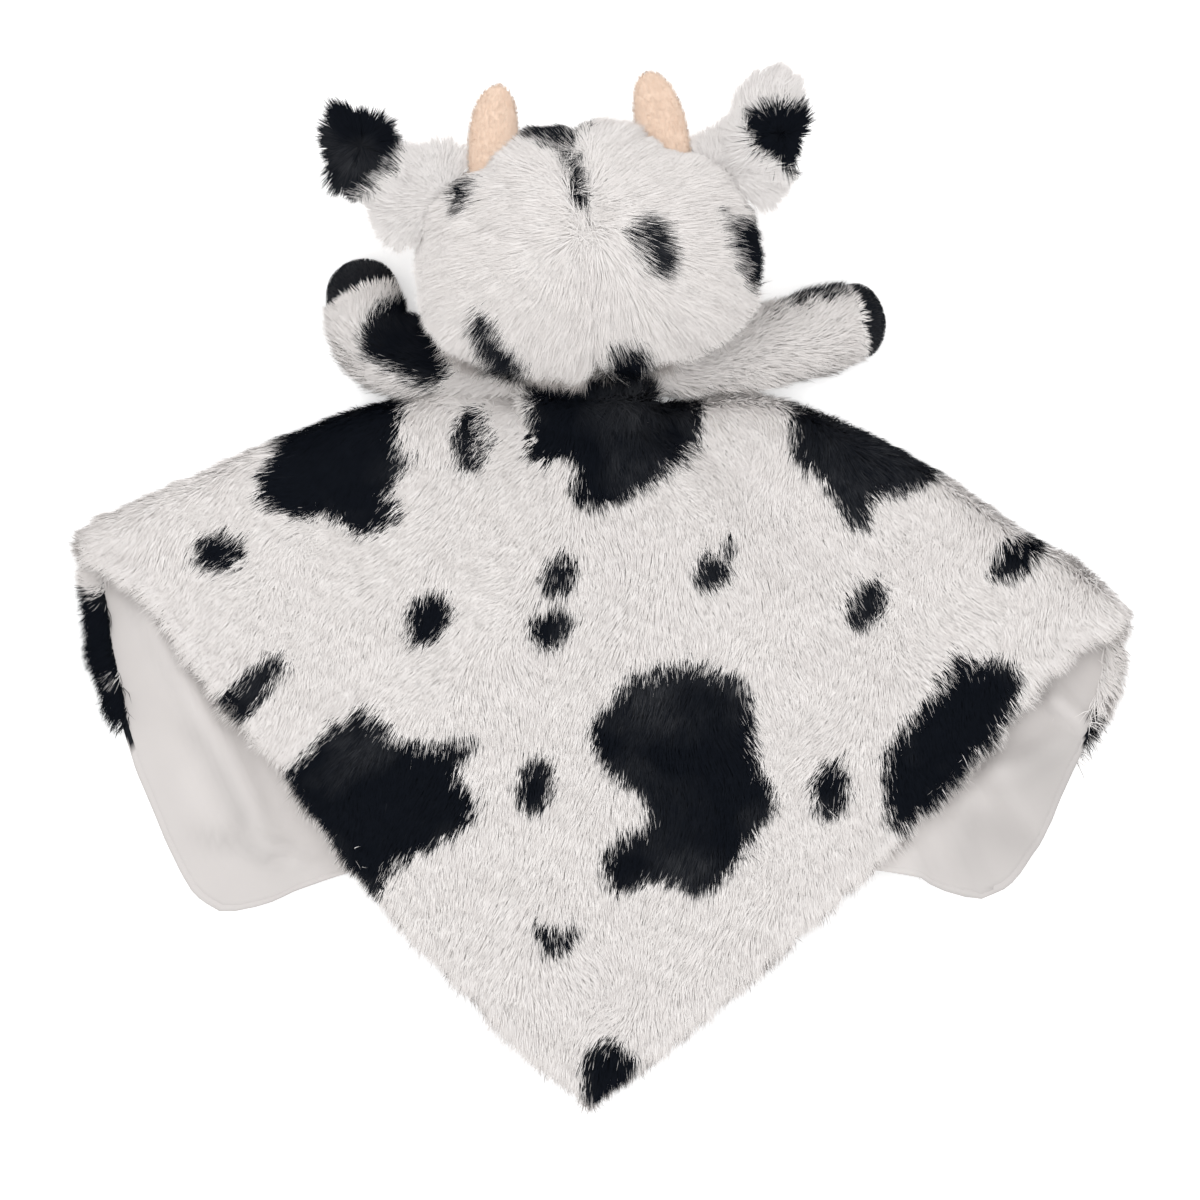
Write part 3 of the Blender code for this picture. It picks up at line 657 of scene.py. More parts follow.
@dataclass(frozen=True)
class Pile:
    """How a fur grows: lengths in metres, and angles from the surface in degrees.

    The rise is that of a strand's lower half and the lay that of its upper half.
    """

    length: float
    width: float
    rise: float
    lay: float
    stray: float
    clump: float
    pull: float
    softness: float = 0.95
    lift: float = 0.45
    uneven: float = 0.22
    jitter: float = 4.0
    rise_limits: Place = (4.0, 88.0)
    lay_limits: Place = (-15.0, 80.0)
    usual: float = 0.96
    swell: float = 0.12
    swell_size: float = 9.0 * MM
    middle_pull: float = 0.4
    twist: float = 0.3
    taper: float = 0.85
    glitter: float = 0.02
    clump_shade: float = 0.16
    strand_shade: float = 0.2

    def grow(
        self,
        name: str,
        roots: Roots,
        comb: Array,
        tint: "Tint",
        draw: np.random.Generator,
        scale: Array | float = 1.0,
    ) -> bpy.types.Mesh:
        """Strands that leave the surface steeply, bend over the way they are combed and clump.

        A strand's middle is half a length from its root at the rise, and its tip is half a length
        on at the lay. Both are then drawn towards the mean middle and the mean tip of the strands
        whose roots fall in the same cell of a wandering grid. A strand is lit by the surface's
        normal times the softness, plus the lift upwards, and its blade is turned to face that way.

        Args:
            name: the mesh's name.
            roots: where they grow.
            comb: the way that each is combed.
            tint: what colours them.
            draw: the random numbers.
            scale: makes strands longer or shorter, for each or for all.

        Returns:
            The mesh, with tone, along and shade stored on its points.
        """
        count = len(roots.points)
        way = flattened(comb + draw.normal(scale=self.stray, size=(count, 3)), roots.normals)
        rise = self.rise + draw.normal(scale=self.jitter, size=count)
        lay = self.lay + draw.normal(scale=self.jitter, size=count)
        rise = np.radians(np.clip(rise, *self.rise_limits))
        lay = np.radians(np.clip(lay, *self.lay_limits))
        swell = 1 + self.swell * ripple(roots.points, self.swell_size, 5)
        drawn = draw.uniform(self.usual - self.uneven, self.usual + self.uneven, count)
        half = (self.length / 2 * drawn * swell * scale)[:, None]
        middle = roots.points + (way * np.cos(rise)[:, None] + roots.normals * np.sin(rise)[:, None]) * half
        tip = middle + (way * np.cos(lay)[:, None] + roots.normals * np.sin(lay)[:, None]) * half
        bent = roots.points + wander(roots.points, 4 * self.clump, 11) * self.clump * 0.5
        key = (np.floor(bent / self.clump) @ np.array([1, 4096, 4096**2])).astype(np.int64)
        _, member, size = np.unique(key, return_inverse=True, return_counts=True)
        pull = (self.pull * draw.uniform(0.4, 1, count))[:, None]

        def mean(values: Array) -> Array:
            sums = [np.bincount(member, weights=values[:, axis]) for axis in range(3)]
            return (np.stack(sums, axis=1) / size[:, None])[member]

        tip = tip + (mean(tip) - tip) * pull
        middle = middle + (mean(middle) - middle) * pull * self.middle_pull
        by_clump = draw.normal(scale=1, size=len(size))[member]
        tones = tint.of((roots.points + middle + tip) / 3, by_clump, draw)
        side = unit(np.cross(tip - middle, roots.normals))
        twist = draw.normal(scale=self.twist, size=count)[:, None]
        side = side * np.cos(twist) + np.cross(unit(tip - middle), side) * np.sin(twist)
        lit = roots.normals * self.softness + np.array(UP) * self.lift
        turned_away = (np.cross(side, tip - roots.points) * lit).sum(axis=1) < 0
        side = np.where(turned_away[:, None], -side, side)
        wide = side * (self.width / 2 * draw.uniform(0.75, 1.25, count))[:, None]
        corners = [
            roots.points - wide, roots.points + wide,
            middle - wide * self.taper, middle + wide * self.taper, tip,
        ]
        points = above_table(np.stack(corners, axis=1)).reshape(-1, 3)
        triangles = 5 * np.arange(count)[:, None, None] + np.array([[0, 1, 3], [0, 3, 2], [2, 3, 4]])
        mesh = mesh_of(name, points, triangles.reshape(-1, 3))
        facing = np.cross(side, unit(tip - roots.points))
        glitter = draw.normal(scale=self.glitter, size=(count, 3))
        lit = unit(lit + facing * (1 - self.softness) + glitter)
        mesh.normals_split_custom_set_from_vertices(np.repeat(lit, 5, axis=0))
        shade = 0.5 + self.clump_shade * by_clump + draw.normal(scale=self.strand_shade, size=count)
        along = np.tile([0, 0, 0.5, 0.5, 1], count)
        set_values(mesh, tone=tones, along=along, shade=np.repeat(shade, 5))
        return mesh


@dataclass(frozen=True)
class Tint:
    """Which strands are black: those seen inside a patch, give or take a little."""

    patches: tuple[Patch, ...] = ()
    frosted: tuple[Patch, ...] = ()
    ragged: float = 2.8
    clumped: float = 0.8
    frost: float = 0.38
    tipped: float = 0.35
    base: float = 0.0

    def of(self, seen: Array, clump: Array, draw: np.random.Generator) -> Array:
        """The tone of each point of each strand, 0 for white and 1 for black.

        Args:
            seen: the middle of what is seen of each strand.
            clump: a random value for each clump, the same for all of its strands.
            draw: the random numbers.

        Returns:
            Five tones for each strand.
        """
        count = len(seen)
        if not self.patches:
            return np.full((count, 5), self.base)
        places = PHOTO.pixels(seen)
        outside = blackness(self.patches, places)
        outside = outside + self.ragged * (self.clumped * clump + draw.normal(size=count))
        black = outside < 0
        if self.frosted:
            frosty = blackness(self.frosted, places) < self.ragged * draw.normal(size=count)
            black &= ~(frosty & (draw.random(count) < self.frost))
        tones = np.repeat(black[:, None].astype(float), 5, axis=1)
        near_edge = black & (outside > -3 * self.ragged) & (draw.random(count) < self.tipped)
        tones[near_edge, 4] = 0
        return tones


@dataclass(frozen=True)
class Tuft:
    """Strands that stand away from one place in the photograph, longer towards its lobes."""

    x: float
    y: float
    reach: float
    lobes: tuple[float, ...]
    lobe_width: float = 24.0
    extra: float = 0.6
    shorter: float = 0.2
    push: float = 1.3

    def combed(self, roots: Roots, comb: Array) -> tuple[Array, Array]:
        """The comb turned away from the tuft's middle near it, and the strands' scale there."""
        away = (PHOTO.pixels(roots.points) - np.array([self.x, self.y])) * np.array([1, -1])
        distance = np.linalg.norm(away, axis=1)
        near = 1 - smooth(distance, self.reach * 0.7, self.reach * 1.1)
        flat = np.column_stack([away / np.maximum(distance, 1)[:, None], np.zeros(len(away))])
        angle = np.degrees(np.arctan2(away[:, 1], away[:, 0]))
        off = np.array([wrapped(angle - lobe) for lobe in self.lobes])
        lobed = bell(off, self.lobe_width).sum(axis=0)
        scale = 1 + near * (self.extra * lobed * smooth(distance, 0, self.reach * 0.6) - self.shorter)
        return comb * (1 - near)[:, None] + self.push * flat * near[:, None], scale


class Nodes:
    """A node tree that nodes are added to, with their values and links."""

    def __init__(self, tree: bpy.types.NodeTree) -> None:
        """Start on a tree."""
        self.tree = tree

    def link(self, value: bpy.types.NodeSocket, socket: bpy.types.NodeSocket) -> None:
        """Lead an output to an input."""
        self.tree.links.new(value, socket)

    def add(self, kind: str, settings: dict[str, object] | None = None, **inputs: object) -> bpy.types.Node:
        """A node of a kind, with settings by attribute and inputs by name or place.

        Args:
            kind: Blender's name for the node.
            settings: attributes that are set on it.
            inputs: a value or another node's output, by the input's name with spaces as underscores,
                or by its place as in_0.

        Returns:
            The node.
        """
        node = self.tree.nodes.new(kind)
        for name, value in (settings or {}).items():
            setattr(node, name, value)
        for name, value in inputs.items():
            place = int(name[3:]) if name.startswith("in_") else name.replace("_", " ")
            if isinstance(value, bpy.types.NodeSocket):
                self.link(value, node.inputs[place])
            else:
                node.inputs[place].default_value = value
        return node

    def place(self) -> bpy.types.NodeSocket:
        """The place on the object."""
        return self.add("ShaderNodeTexCoord").outputs["Object"]

    def attribute(self, name: str) -> bpy.types.NodeSocket:
        """The value that a mesh stores under a name."""
        return self.add("ShaderNodeAttribute", {"attribute_name": name}).outputs["Fac"]

    def noise(self, **inputs: object) -> bpy.types.NodeSocket:
        """A soft random value."""
        return self.add("ShaderNodeTexNoise", **inputs).outputs[0]

    def mixed(self, share: object, first: object, second: object) -> bpy.types.NodeSocket:
        """A colour between two, by a share."""
        node = self.add("ShaderNodeMix", {"data_type": "RGBA"}, in_0=share, in_6=first, in_7=second)
        return node.outputs[2]

    def maths(self, operation: str, first: object, second: object) -> bpy.types.NodeSocket:
        """The result of an operation on two numbers."""
        return self.add("ShaderNodeMath", {"operation": operation}, in_0=first, in_1=second).outputs[0]

    def spread(self, value: object, low: float, high: float) -> bpy.types.NodeSocket:
        """A number from 0 to 1 made one from low to high."""
        return self.add("ShaderNodeMapRange", in_0=value, To_Min=low, To_Max=high).outputs[0]


def grouped(name: str, inputs: dict[str, object], outputs: dict[str, str]) -> tuple[Nodes, bpy.types.Node]:
    """A node group with named inputs and outputs.

    Args:
        name: the group's name.
        inputs: a default for each input: a number, a colour, or None for a vector.
        outputs: Blender's socket type for each output.

    Returns:
        A maker of the group's nodes, and the node that gives its inputs.
    """
    group = bpy.data.node_groups.new(name, "ShaderNodeTree")
    for label, default in inputs.items():
        kind = {float: "Float", tuple: "Color"}.get(type(default), "Vector")
        socket = group.interface.new_socket(label, in_out="INPUT", socket_type=f"NodeSocket{kind}")
        if kind != "Vector":
            socket.default_value = default if kind == "Float" else (*default, 1)
    for label, kind in outputs.items():
        group.interface.new_socket(label, in_out="OUTPUT", socket_type=kind)
    nodes = Nodes(group)
    return nodes, nodes.add("NodeGroupInput")


def fur_group() -> bpy.types.NodeTree:
    """The colour of a strand: from root to tip, white or black by tone, and paler or not by shade."""
    inputs = {
        "White Root": (0.6, 0.6, 0.6), "White Tip": (0.8, 0.8, 0.8), "White Shadow": (0.7, 0.7, 0.7),
        "Black Root": (0.01, 0.01, 0.01), "Black Tip": (0.02, 0.02, 0.02),
        "Black Light": (0.04, 0.04, 0.04), "Tone": 0.0, "Along": 1.0, "Shade": 0.5,
    }
    nodes, source = grouped("fur_tint", inputs, {"Color": "NodeSocketColor"})
    out = source.outputs
    place = nodes.place()
    mottle = nodes.noise(Vector=place, Scale=70.0, Detail=3.0)
    patchy = nodes.noise(Vector=place, Scale=26.0, Detail=2.0)
    # From root to tip the colours change: painted light and shade, set against the shade among strands.
    white = nodes.mixed(out["Along"], out["White Root"], out["White Tip"])
    dim = nodes.maths("MULTIPLY", nodes.spread(mottle, -0.6, 1.2), nodes.spread(out["Shade"], 1.1, 0.1))
    white = nodes.mixed(dim, white, out["White Shadow"])
    black = nodes.mixed(out["Along"], out["Black Root"], out["Black Tip"])
    # The glint is a painted highlight: black strands made paler in patches, as if they caught the light.
    glint = nodes.maths("MULTIPLY", nodes.spread(patchy, -2.0, 2.3), out["Shade"])
    black = nodes.mixed(glint, black, out["Black Light"])
    nodes.add("NodeGroupOutput", Color=nodes.mixed(out["Tone"], white, black))
    return nodes.tree


def weave_group() -> bpy.types.NodeTree:
    """Fine crossing threads: a height from two wave textures, and a mottle from noise."""
    inputs = {"Vector": None, "Threads": 1400.0, "Mottle Size": 60.0}
    outputs = {"Height": "NodeSocketFloat", "Mottle": "NodeSocketFloat"}
    nodes, source = grouped("fine_weave", inputs, outputs)
    place, threads = source.outputs["Vector"], source.outputs["Threads"]
    size = source.outputs["Mottle Size"]
    waves = [
        nodes.add(
            "ShaderNodeTexWave", {"bands_direction": way},
            Vector=place, Scale=threads, Distortion=1.2, Detail=1.0,
        ).outputs["Fac"]
        for way in ("X", "Y")
    ]
    height = nodes.maths("MULTIPLY", *waves)
    nodes.add("NodeGroupOutput", Height=height, Mottle=nodes.noise(Vector=place, Scale=size, Detail=4.0))
    return nodes.tree


def principled(
    name: str, roughness: float, sheen: float = 0.0, specular: float = 0.15
) -> tuple[bpy.types.Material, Nodes, bpy.types.Node]:
    """A material with a plain shader, whose fixed values are set on its own sockets."""
    made = bpy.data.materials.new(name)
    made.use_nodes = True
    shader = made.node_tree.nodes["Principled BSDF"]
    shader.inputs["Roughness"].default_value = roughness
    shader.inputs["Specular IOR Level"].default_value = specular
    shader.inputs["Sheen Weight"].default_value = sheen
    shader.inputs["Sheen Roughness"].default_value = 0.5
    return made, Nodes(made.node_tree), shader


@dataclass(frozen=True)
class FurFinish:
    """Plush strands, white or black by their tone, each as the colours of root, tip and shadow.

    The third black is a painted highlight, for strands that catch the light. A finish that isn't
    graded is for cloth whose mesh doesn't say how far along a strand each point is.
    """

    name: str
    # Default whites: roots paler than tips, painted light and shade set against the shade among strands.
    # Default blacks: roots darker than tips, painted shade, and a third black that is a painted highlight.
    white: tuple[Colour, ...] = ((0.935, 0.904, 0.886), (0.80, 0.768, 0.750), (0.82, 0.788, 0.770))
    black: tuple[Colour, ...] = (
        (0.0022, 0.0032, 0.0055), (0.0042, 0.0062, 0.0110), (0.0500, 0.0520, 0.0580),
    )
    roughness: float = 0.7
    specular: float = 0.06
    graded: bool = True

    def material(self, group: bpy.types.NodeTree) -> bpy.types.Material:
        """The finish as a material, coloured by the group for strands."""
        made, nodes, shader = principled(self.name, self.roughness, specular=self.specular)
        labels = ("White Root", "White Tip", "White Shadow", "Black Root", "Black Tip", "Black Light")
        inputs = {label: (*colour, 1) for label, colour in zip(labels, self.white + self.black)}
        inputs["Tone"] = nodes.attribute("tone")
        inputs["Along"] = nodes.attribute("along") if self.graded else 0.3
        if self.graded:
            inputs["Shade"] = nodes.attribute("shade")
        tint = nodes.add("ShaderNodeGroup", {"node_tree": group}, **inputs)
        nodes.link(tint.outputs[0], shader.inputs["Base Color"])
        return made


@dataclass(frozen=True)
class ClothFinish:
    """A smooth cloth with fine threads and a soft mottle."""

    name: str
    colour: Colour
    shadow: Colour
    threads: float = 1400.0
    mottle: float = 60.0
    bump: float = 0.15
    roughness: float = 0.85
    sheen: float = 0.25
    dim: Colour | None = None

    def material(self, group: bpy.types.NodeTree) -> bpy.types.Material:
        """The finish as a material, with the group for threads.

        Where there is a dim colour, the mesh says how much of it shows: on the lining, painted shade and
        painted light.
        """
        made, nodes, shader = principled(self.name, self.roughness, self.sheen)
        weave = nodes.add(
            "ShaderNodeGroup", {"node_tree": group},
            Vector=nodes.place(), Threads=self.threads, Mottle_Size=self.mottle,
        ).outputs
        shadow = (*self.shadow, 1)
        colour = nodes.mixed(nodes.spread(weave["Mottle"], -0.4, 1.1), (*self.colour, 1), shadow)
        colour = nodes.mixed(nodes.spread(weave["Height"], 0.16, 0.0), colour, shadow)
        if self.dim:
            colour = nodes.mixed(nodes.attribute("dim"), colour, (*self.dim, 1))
        nodes.link(colour, shader.inputs["Base Color"])
        bump = nodes.add("ShaderNodeBump", Strength=self.bump, Distance=0.2 * MM, Height=weave["Height"])
        nodes.link(bump.outputs[0], shader.inputs["Normal"])
        return made


FINISHES = (
    FurFinish("plush_strands"),
    FurFinish("plush_backing", roughness=0.9, graded=False),
    # The folds' copy of the same white plush, paler than the blanket's: painted light on pile that lies in
    # shade.
    FurFinish("fold_strands", ((0.97, 0.940, 0.925), (0.96, 0.930, 0.915), (0.95, 0.920, 0.905))),
    # The head's and arms' copy of the same white plush, paler than the blanket's: painted light.
    FurFinish("head_strands", ((0.95, 0.920, 0.902), (0.84, 0.808, 0.790), (0.87, 0.838, 0.820))),
    # The ears' copy of the same white plush, darker at the roots and in its shadow colour than the
    # blanket's: painted shade.
    FurFinish("ear_strands", ((0.84, 0.81, 0.795), (0.87, 0.845, 0.83), (0.78, 0.75, 0.735))),
    # The hem's whites are the lining's colour, darkened by tone as the lining's painted shade and light.
    FurFinish(
        "hem_backing", ((0.74, 0.703, 0.686), (0.74, 0.703, 0.686), (0.70, 0.664, 0.647)), graded=False
    ),
    # The lining's dim colour carries its painted shade and painted light.
    ClothFinish("smooth_lining", (0.74, 0.703, 0.686), (0.70, 0.664, 0.647), dim=(0.36, 0.342, 0.334)),
    ClothFinish("peach_velour", (0.86, 0.68, 0.55), (0.80, 0.61, 0.48), 2200.0, 150.0),
    FurFinish("peach_nap", ((0.83, 0.65, 0.52), (0.90, 0.74, 0.61), (0.82, 0.64, 0.51)), roughness=0.8),
    ClothFinish("black_velour", (0.006, 0.007, 0.010), (0.012, 0.012, 0.015), 2200.0, 150.0, sheen=0.05),
    ClothFinish("sewing_thread", (0.70, 0.67, 0.64), (0.55, 0.52, 0.49), 4000.0, 400.0, 0.5),
    ClothFinish("fibre_filling", (0.82, 0.82, 0.81), (0.72, 0.72, 0.71), 500.0, 300.0, 1.0),
)


def make_finishes() -> Finishes:
    """Every material of the toy by its name, made with the group that its kind shares."""
    groups = {FurFinish: fur_group(), ClothFinish: weave_group()}
    return {finish.name: finish.material(groups[type(finish)]) for finish in FINISHES}


# The hem's places in the photograph: the cloth angle, then across and down in pixels.
HEM_PLACES = (
    (-100, 872, 868), (-96, 920, 874), (-94, 943, 887), (-92, 964, 894), (-91, 979, 895),
    (-90, 994, 889.5), (-89, 1007, 880), (-88, 1020, 869), (-86, 1038, 842), (-84, 1050, 818),
    (-80, 1067, 776), (-74, 1094, 716), (-68, 1109, 664), (-63, 1111, 624), (-60, 1072, 634),
    (-55, 1034, 668), (-50, 1005, 702), (30, 341, 828), (35, 312, 786), (40, 280, 744),
    (50, 215, 668), (60, 157, 588), (63, 128, 568), (66, 98, 549), (72, 103, 624), (78, 121, 709),
    (82, 140, 771), (86, 167, 836), (88, 184, 873), (89, 195, 888), (90, 208, 900), (91, 222, 907),
    (92, 236, 908), (94, 260, 903), (97, 296, 888), (100, 341, 872),
)
# Cloth angles at which the hem stays where the fold puts it.
HEM_STAYS = (-106.0, -45.0, 25.0, 106.0)

# Where the pile is shorter: across, down and reach in pixels, then the change of its length.
SHORTENED = (
    (74, 516, 30, -0.6),
    (1132, 598, 26, -0.5),
)

# The lining's even dim, which gives its own colour, the share of it that the hem takes as tone, and the
# painted light beside the back half's edges with its reach in pixels.
LINING_DIM = 0.345
HEM_DIM = 0.51
PAINTED_EDGE_LIGHT = 0.34
EDGE_REACH = 34.0

# The lining's painted shade in its hollows and creases and over its lower right, and painted highlights on
# its ridges with less than 0: across, down, half width, half height and clockwise turn in the photograph,
# then the amount.
PAINTED_SHADE_AND_LIGHT = (
    (1046, 780, 110, 130, 0, 0.26),
    (1048, 686, 20, 32, -20, 0.20),
    (1012, 744, 46, 18, 26, 0.20),
    (1000, 834, 42, 16, 36, 0.12),
    (966, 842, 14, 42, 0, 0.12),
    (1070, 714, 26, 10, 38, -0.26),
    (960, 796, 44, 14, 8, -0.14),
    (1030, 812, 30, 16, 40, -0.10),
    (144, 600, 18, 10, 8, 0.34),
    (170, 640, 10, 44, -26, 0.20),
    (192, 734, 24, 11, 46, 0.16),
    (222, 780, 34, 12, 60, 0.20),
    (240, 822, 20, 12, 75, 0.20),
    (218, 840, 26, 11, 14, 0.24),
    (266, 858, 20, 12, 40, 0.14),
    (196, 790, 14, 60, -26, -0.10),
)

# The two sides of the back half's hem, beside which the lining is painted paler: painted light where the
# back half's fur casts its shade.
BACK_EDGES = (
    ((150, 592), (216, 690), (245, 726), (289, 776), (336, 850), (377, 898)),
    ((1062, 655), (1028, 700), (973, 768), (910, 826), (860, 876)),
)

# Ridges of the lining: a line in the photograph, a height, and a half width in pixels.
CREASES = (
    (((112, 596), (140, 600), (158, 612)), 3.0 * MM, 10.0),
    (((146, 606), (172, 655), (208, 722), (246, 790), (266, 845)), 4.2 * MM, 13.0),
    (((228, 842), (262, 848), (300, 862)), 2.6 * MM, 10.0),
    (((1048, 642), (1046, 672), (1060, 700)), 2.6 * MM, 9.0),
    (((1052, 702), (1070, 712), (1086, 726)), 2.8 * MM, 7.0),
    (((1062, 742), (1020, 768), (990, 775)), 3.4 * MM, 14.0),
    (((1000, 772), (1016, 806), (1040, 834)), 3.6 * MM, 15.0),
    (((962, 800), (958, 842), (972, 884)), 3.0 * MM, 11.0),
    (((905, 850), (912, 872)), 2.4 * MM, 12.0),
)

UNDER_PATCHES = (
    oval("under, left", 300, 700, 60, 44, 20),
    oval("under, middle", 560, 560, 70, 52, -20),
    oval("under, right", 850, 700, 58, 70, 30),
    oval("under, low", 420, 840, 34, 28),
)


def painted_dimness(places: Array) -> Array:
    """How dim the lining is at each place, from 0 to 1.

    It is an even base, which is the lining's own colour, plus a turned bell curve of painted shade for
    each hollow, painted highlight where the amount is below 0, less a bell curve of painted light along
    each edge of the back half.
    """
    total = np.full(len(places), LINING_DIM)
    for x, y, across, down, turn, amount in PAINTED_SHADE_AND_LIGHT:
        off = places - np.array([x, y])
        cosine, sine = math.cos(math.radians(turn)), math.sin(math.radians(turn))
        u = (off[:, 0] * cosine + off[:, 1] * sine) / across
        v = (off[:, 1] * cosine - off[:, 0] * sine) / down
        total += amount * np.exp(-(u**2) - v**2)
    for line in BACK_EDGES:
        total -= PAINTED_EDGE_LIGHT * bell(from_line(places, line), EDGE_REACH)
    return np.clip(total, 0, 1)


@dataclass
class FoldedBlanket:
    """The two-layer square, gathered at its centre, with its front half folded under.

    Seen from its centre, a cloth angle of 0 points to the back corner and 90 to the left corner.
    Angles are in degrees, and pairs that end in rows are shares of the way from the centre.
    """

    side: float = 350.0 * MM
    shift: float = 9.0 * MM
    neck_y: float = -39.8 * MM
    left_fold: float = 66.0
    right_fold: float = 63.0
    left_fold_lies_at: float = 71.5
    right_fold_lies_at: float = 64.2
    corner_lies_at: float = 38.0
    pleat_half: float = 24.0
    step_down: Place = (28.0, 42.0)
    left_spread: float = 0.17
    right_spread: float = 0.34
    front_shrink: float = 0.92
    fold_radius: float = 5.0 * MM
    lining_fold_radius: float = 2.3 * MM
    wave_height: float = 1.8 * MM
    wave_count: float = 9.0
    plush: float = 4.0 * MM
    lining: float = 1.2 * MM
    seam_gap: float = 0.3 * MM
    foot_depth: float = 0.5 * MM
    ring_half_width: float = 20.0 * MM
    ring_half_height: float = 9.0 * MM
    ring_height: float = 26.0 * MM
    neck_length: float = 12.0 * MM
    backing: float = 1.0 * MM
    hem_draw: float = 0.04
    draw_lies_at: float = 25.0
    draw_width: float = 9.0
    left_fuller: float = 3.7 * MM
    right_fuller: float = 3.2 * MM
    left_waist: float = -1.7 * MM
    right_waist: float = 2.3 * MM
    left_side: Place = (42.0, 71.0)
    right_side: Place = (36.0, 64.0)
    fuller_rows: Place = (0.75, 0.97)
    corner_shift: float = 8.0 * MM
    corner_width: float = 16.0
    corner_round: float = 0.018
    tip_width: float = 4.0
    gather_rows: Place = (0.10, 0.31)
    stacked_rows: Place = (0.10, 0.22)
    folded_rows: Place = (0.12, 0.31)
    hem_rows: Place = (0.45, 1.0)
    unevenness: float = 0.5 * MM
    unevenness_size: float = 34.0 * MM
    lining_start: float = 0.30
    roll_width: float = 2.2 * MM
    roll_extra: float = 0.6 * MM
    roll_rise: float = 0.15 * MM
    roll_cloth: float = 0.5 * MM
    roll_left: tuple[float, float, float, float] = (64.0, 67.0, 76.0, 79.0)
    roll_right: tuple[float, float, float, float] = (61.0, 64.0, 70.0, 77.0)
    back_split: Place = (-19.0, 23.0)
    collar_rows: Place = (0.09, 0.15)
    under_rows: Place = (0.2, 0.95)
    front_rows: Place = (0.95, 0.98)
    front_from: float = 79.0
    folds_from_row: float = 0.16
    side_from_row: float = 0.93
    side_ends: Place = (74.0, 78.0)
    edge_from_row: float = 0.985
    edge_weight: float = 0.8
    comb_down: tuple[float, float, float] = (-0.25, -1.0, 0.0)
    comb_collar: tuple[float, float, float] = (0.0, 1.6, 0.5)
    comb_share: float = 0.55
    comb_hem: float = 1.5
    comb_hem_rows: Place = (0.93, 1.0)
    comb_collar_rows: Place = (0.05, 0.11)
    back_strands: int = 62000
    fold_strands: int = 28000
    collar_strands: int = 9000
    edge_strands: int = 26000
    under_strands: int = 12000
    roll_strands: int = 18000
    front_strands: int = 4000
    pile: Pile = Pile(7.6 * MM, 0.33 * MM, 34, 9, 0.17, 2.4 * MM, 0.10, uneven=0.12)
    hidden_pile: Pile = Pile(4.2 * MM, 0.45 * MM, 35, 12, 0.5, 3.0 * MM, 0.4)
    fringe_pile: Pile = Pile(9.5 * MM, 0.28 * MM, 38, 14, 0.28, 2.8 * MM, 0.35)
    fold_pile: Pile = Pile(7.6 * MM, 0.32 * MM, 42, 18, 0.2, 2.8 * MM, 0.12, lift=1.1, uneven=0.12)
    collar_pile: Pile = Pile(10.0 * MM, 0.28 * MM, 50, 22, 0.4, 2.8 * MM, 0.45)
    short_pile: Pile = Pile(3.4 * MM, 0.28 * MM, 38, 10, 0.4, 2.5 * MM, 0.5)

    def levels(self) -> tuple[float, float, float, float, float]:
        """Heights of the cloth's middle above the table, for each layer of the folded blanket."""
        front = self.plush + self.seam_gap / 2 - self.foot_depth
        pleat = front + 2 * self.lining_fold_radius
        over = pleat + 2 * self.fold_radius
        return front, pleat, over, front + 2 * self.fold_radius, over + 2 * (self.lining + self.seam_gap)

    def back_height(self, lies_at: Array) -> Array:
        """The back half lies on the folds below it: highest over the pleat, with nine low waves."""
        *_, side, middle = self.levels()
        near_pleat = 1 - smooth(np.abs(lies_at), self.pleat_half, self.left_fold - self.step_down[0] / 2)
        fade = 1 - np.minimum(np.abs(lies_at) / self.right_fold_lies_at, 1) ** 2
        wave = self.wave_height * np.sin(np.radians(lies_at * self.wave_count)) * fade
        return side + (middle - side) * near_pleat + wave

    def right_front(self, lies_at: Array) -> Array:
        """The right front panel steps down from above the pleat to the table."""
        front, _, over, _, _ = self.levels()
        return over + (front - over) * smooth(-lies_at, *self.step_down)

    def stations(self) -> Array:
        """Once round the blanket, in rows of cloth angle, angle it lies at, sideways and height.

        A stretch between two folds is a straight run of both angles. A fold is half a circle:
        sideways goes with the sine of the turn, and the height with one less its cosine.
        """
        front, pleat, over, _, _ = self.levels()
        half, left, right = self.pleat_half, self.left_fold_lies_at, -self.right_fold_lies_at

        def run(angles: tuple, places: tuple, steps: int, height: object) -> Array:
            cloth, lies_at = np.linspace(*angles, steps + 1), np.linspace(*places, steps + 1)
            level = height(lies_at) if callable(height) else np.full(steps + 1, height)
            return np.stack([cloth, lies_at, np.zeros(steps + 1), level], axis=1)

        def fold(angle: float, lies_at: float, low: float, high: float, way: int) -> Array:
            turns = np.pi * np.arange(1, 10) / 10
            radius = (high - low) / 2
            sideways = way * abs(radius) * np.sin(turns)
            level = low + radius * (1 - np.cos(turns))
            same = np.ones_like(turns)
            return np.stack([angle * same, lies_at * same, sideways, level], axis=1)

        left_top = float(self.back_height(np.array(left)))
        right_top = float(self.back_height(np.array(right)))
        corner = self.corner_lies_at
        return np.vstack([
            run((-self.right_fold, 0), (right, 0), 44, self.back_height),
            run((0, self.left_fold), (0, left), 44, self.back_height)[1:],
            fold(self.left_fold, left, left_top, front, 1),
            run((self.left_fold, 90), (left, corner), 40, front),
            run((90, 180 - half), (corner, -half), 56, front)[1:],
            fold(180 - half, -half, front, pleat, -1),
            run((180 - half, 180 + half), (-half, half), 10, pleat),
            fold(180 + half, half, pleat, over, 1),
            run((180 + half, 270), (half, -corner), 56, self.right_front),
            run((270, 360 - self.right_fold), (-corner, right), 42, self.right_front)[1:],
            fold(360 - self.right_fold, right, front, right_top, -1),
        ])

    def hem_distance(self, cloth: Array) -> Array:
        """From the centre to the edge: half a side over the cosine of the angle from its middle."""
        return self.side / 2 / np.cos(np.radians(cloth % 90 - 45))

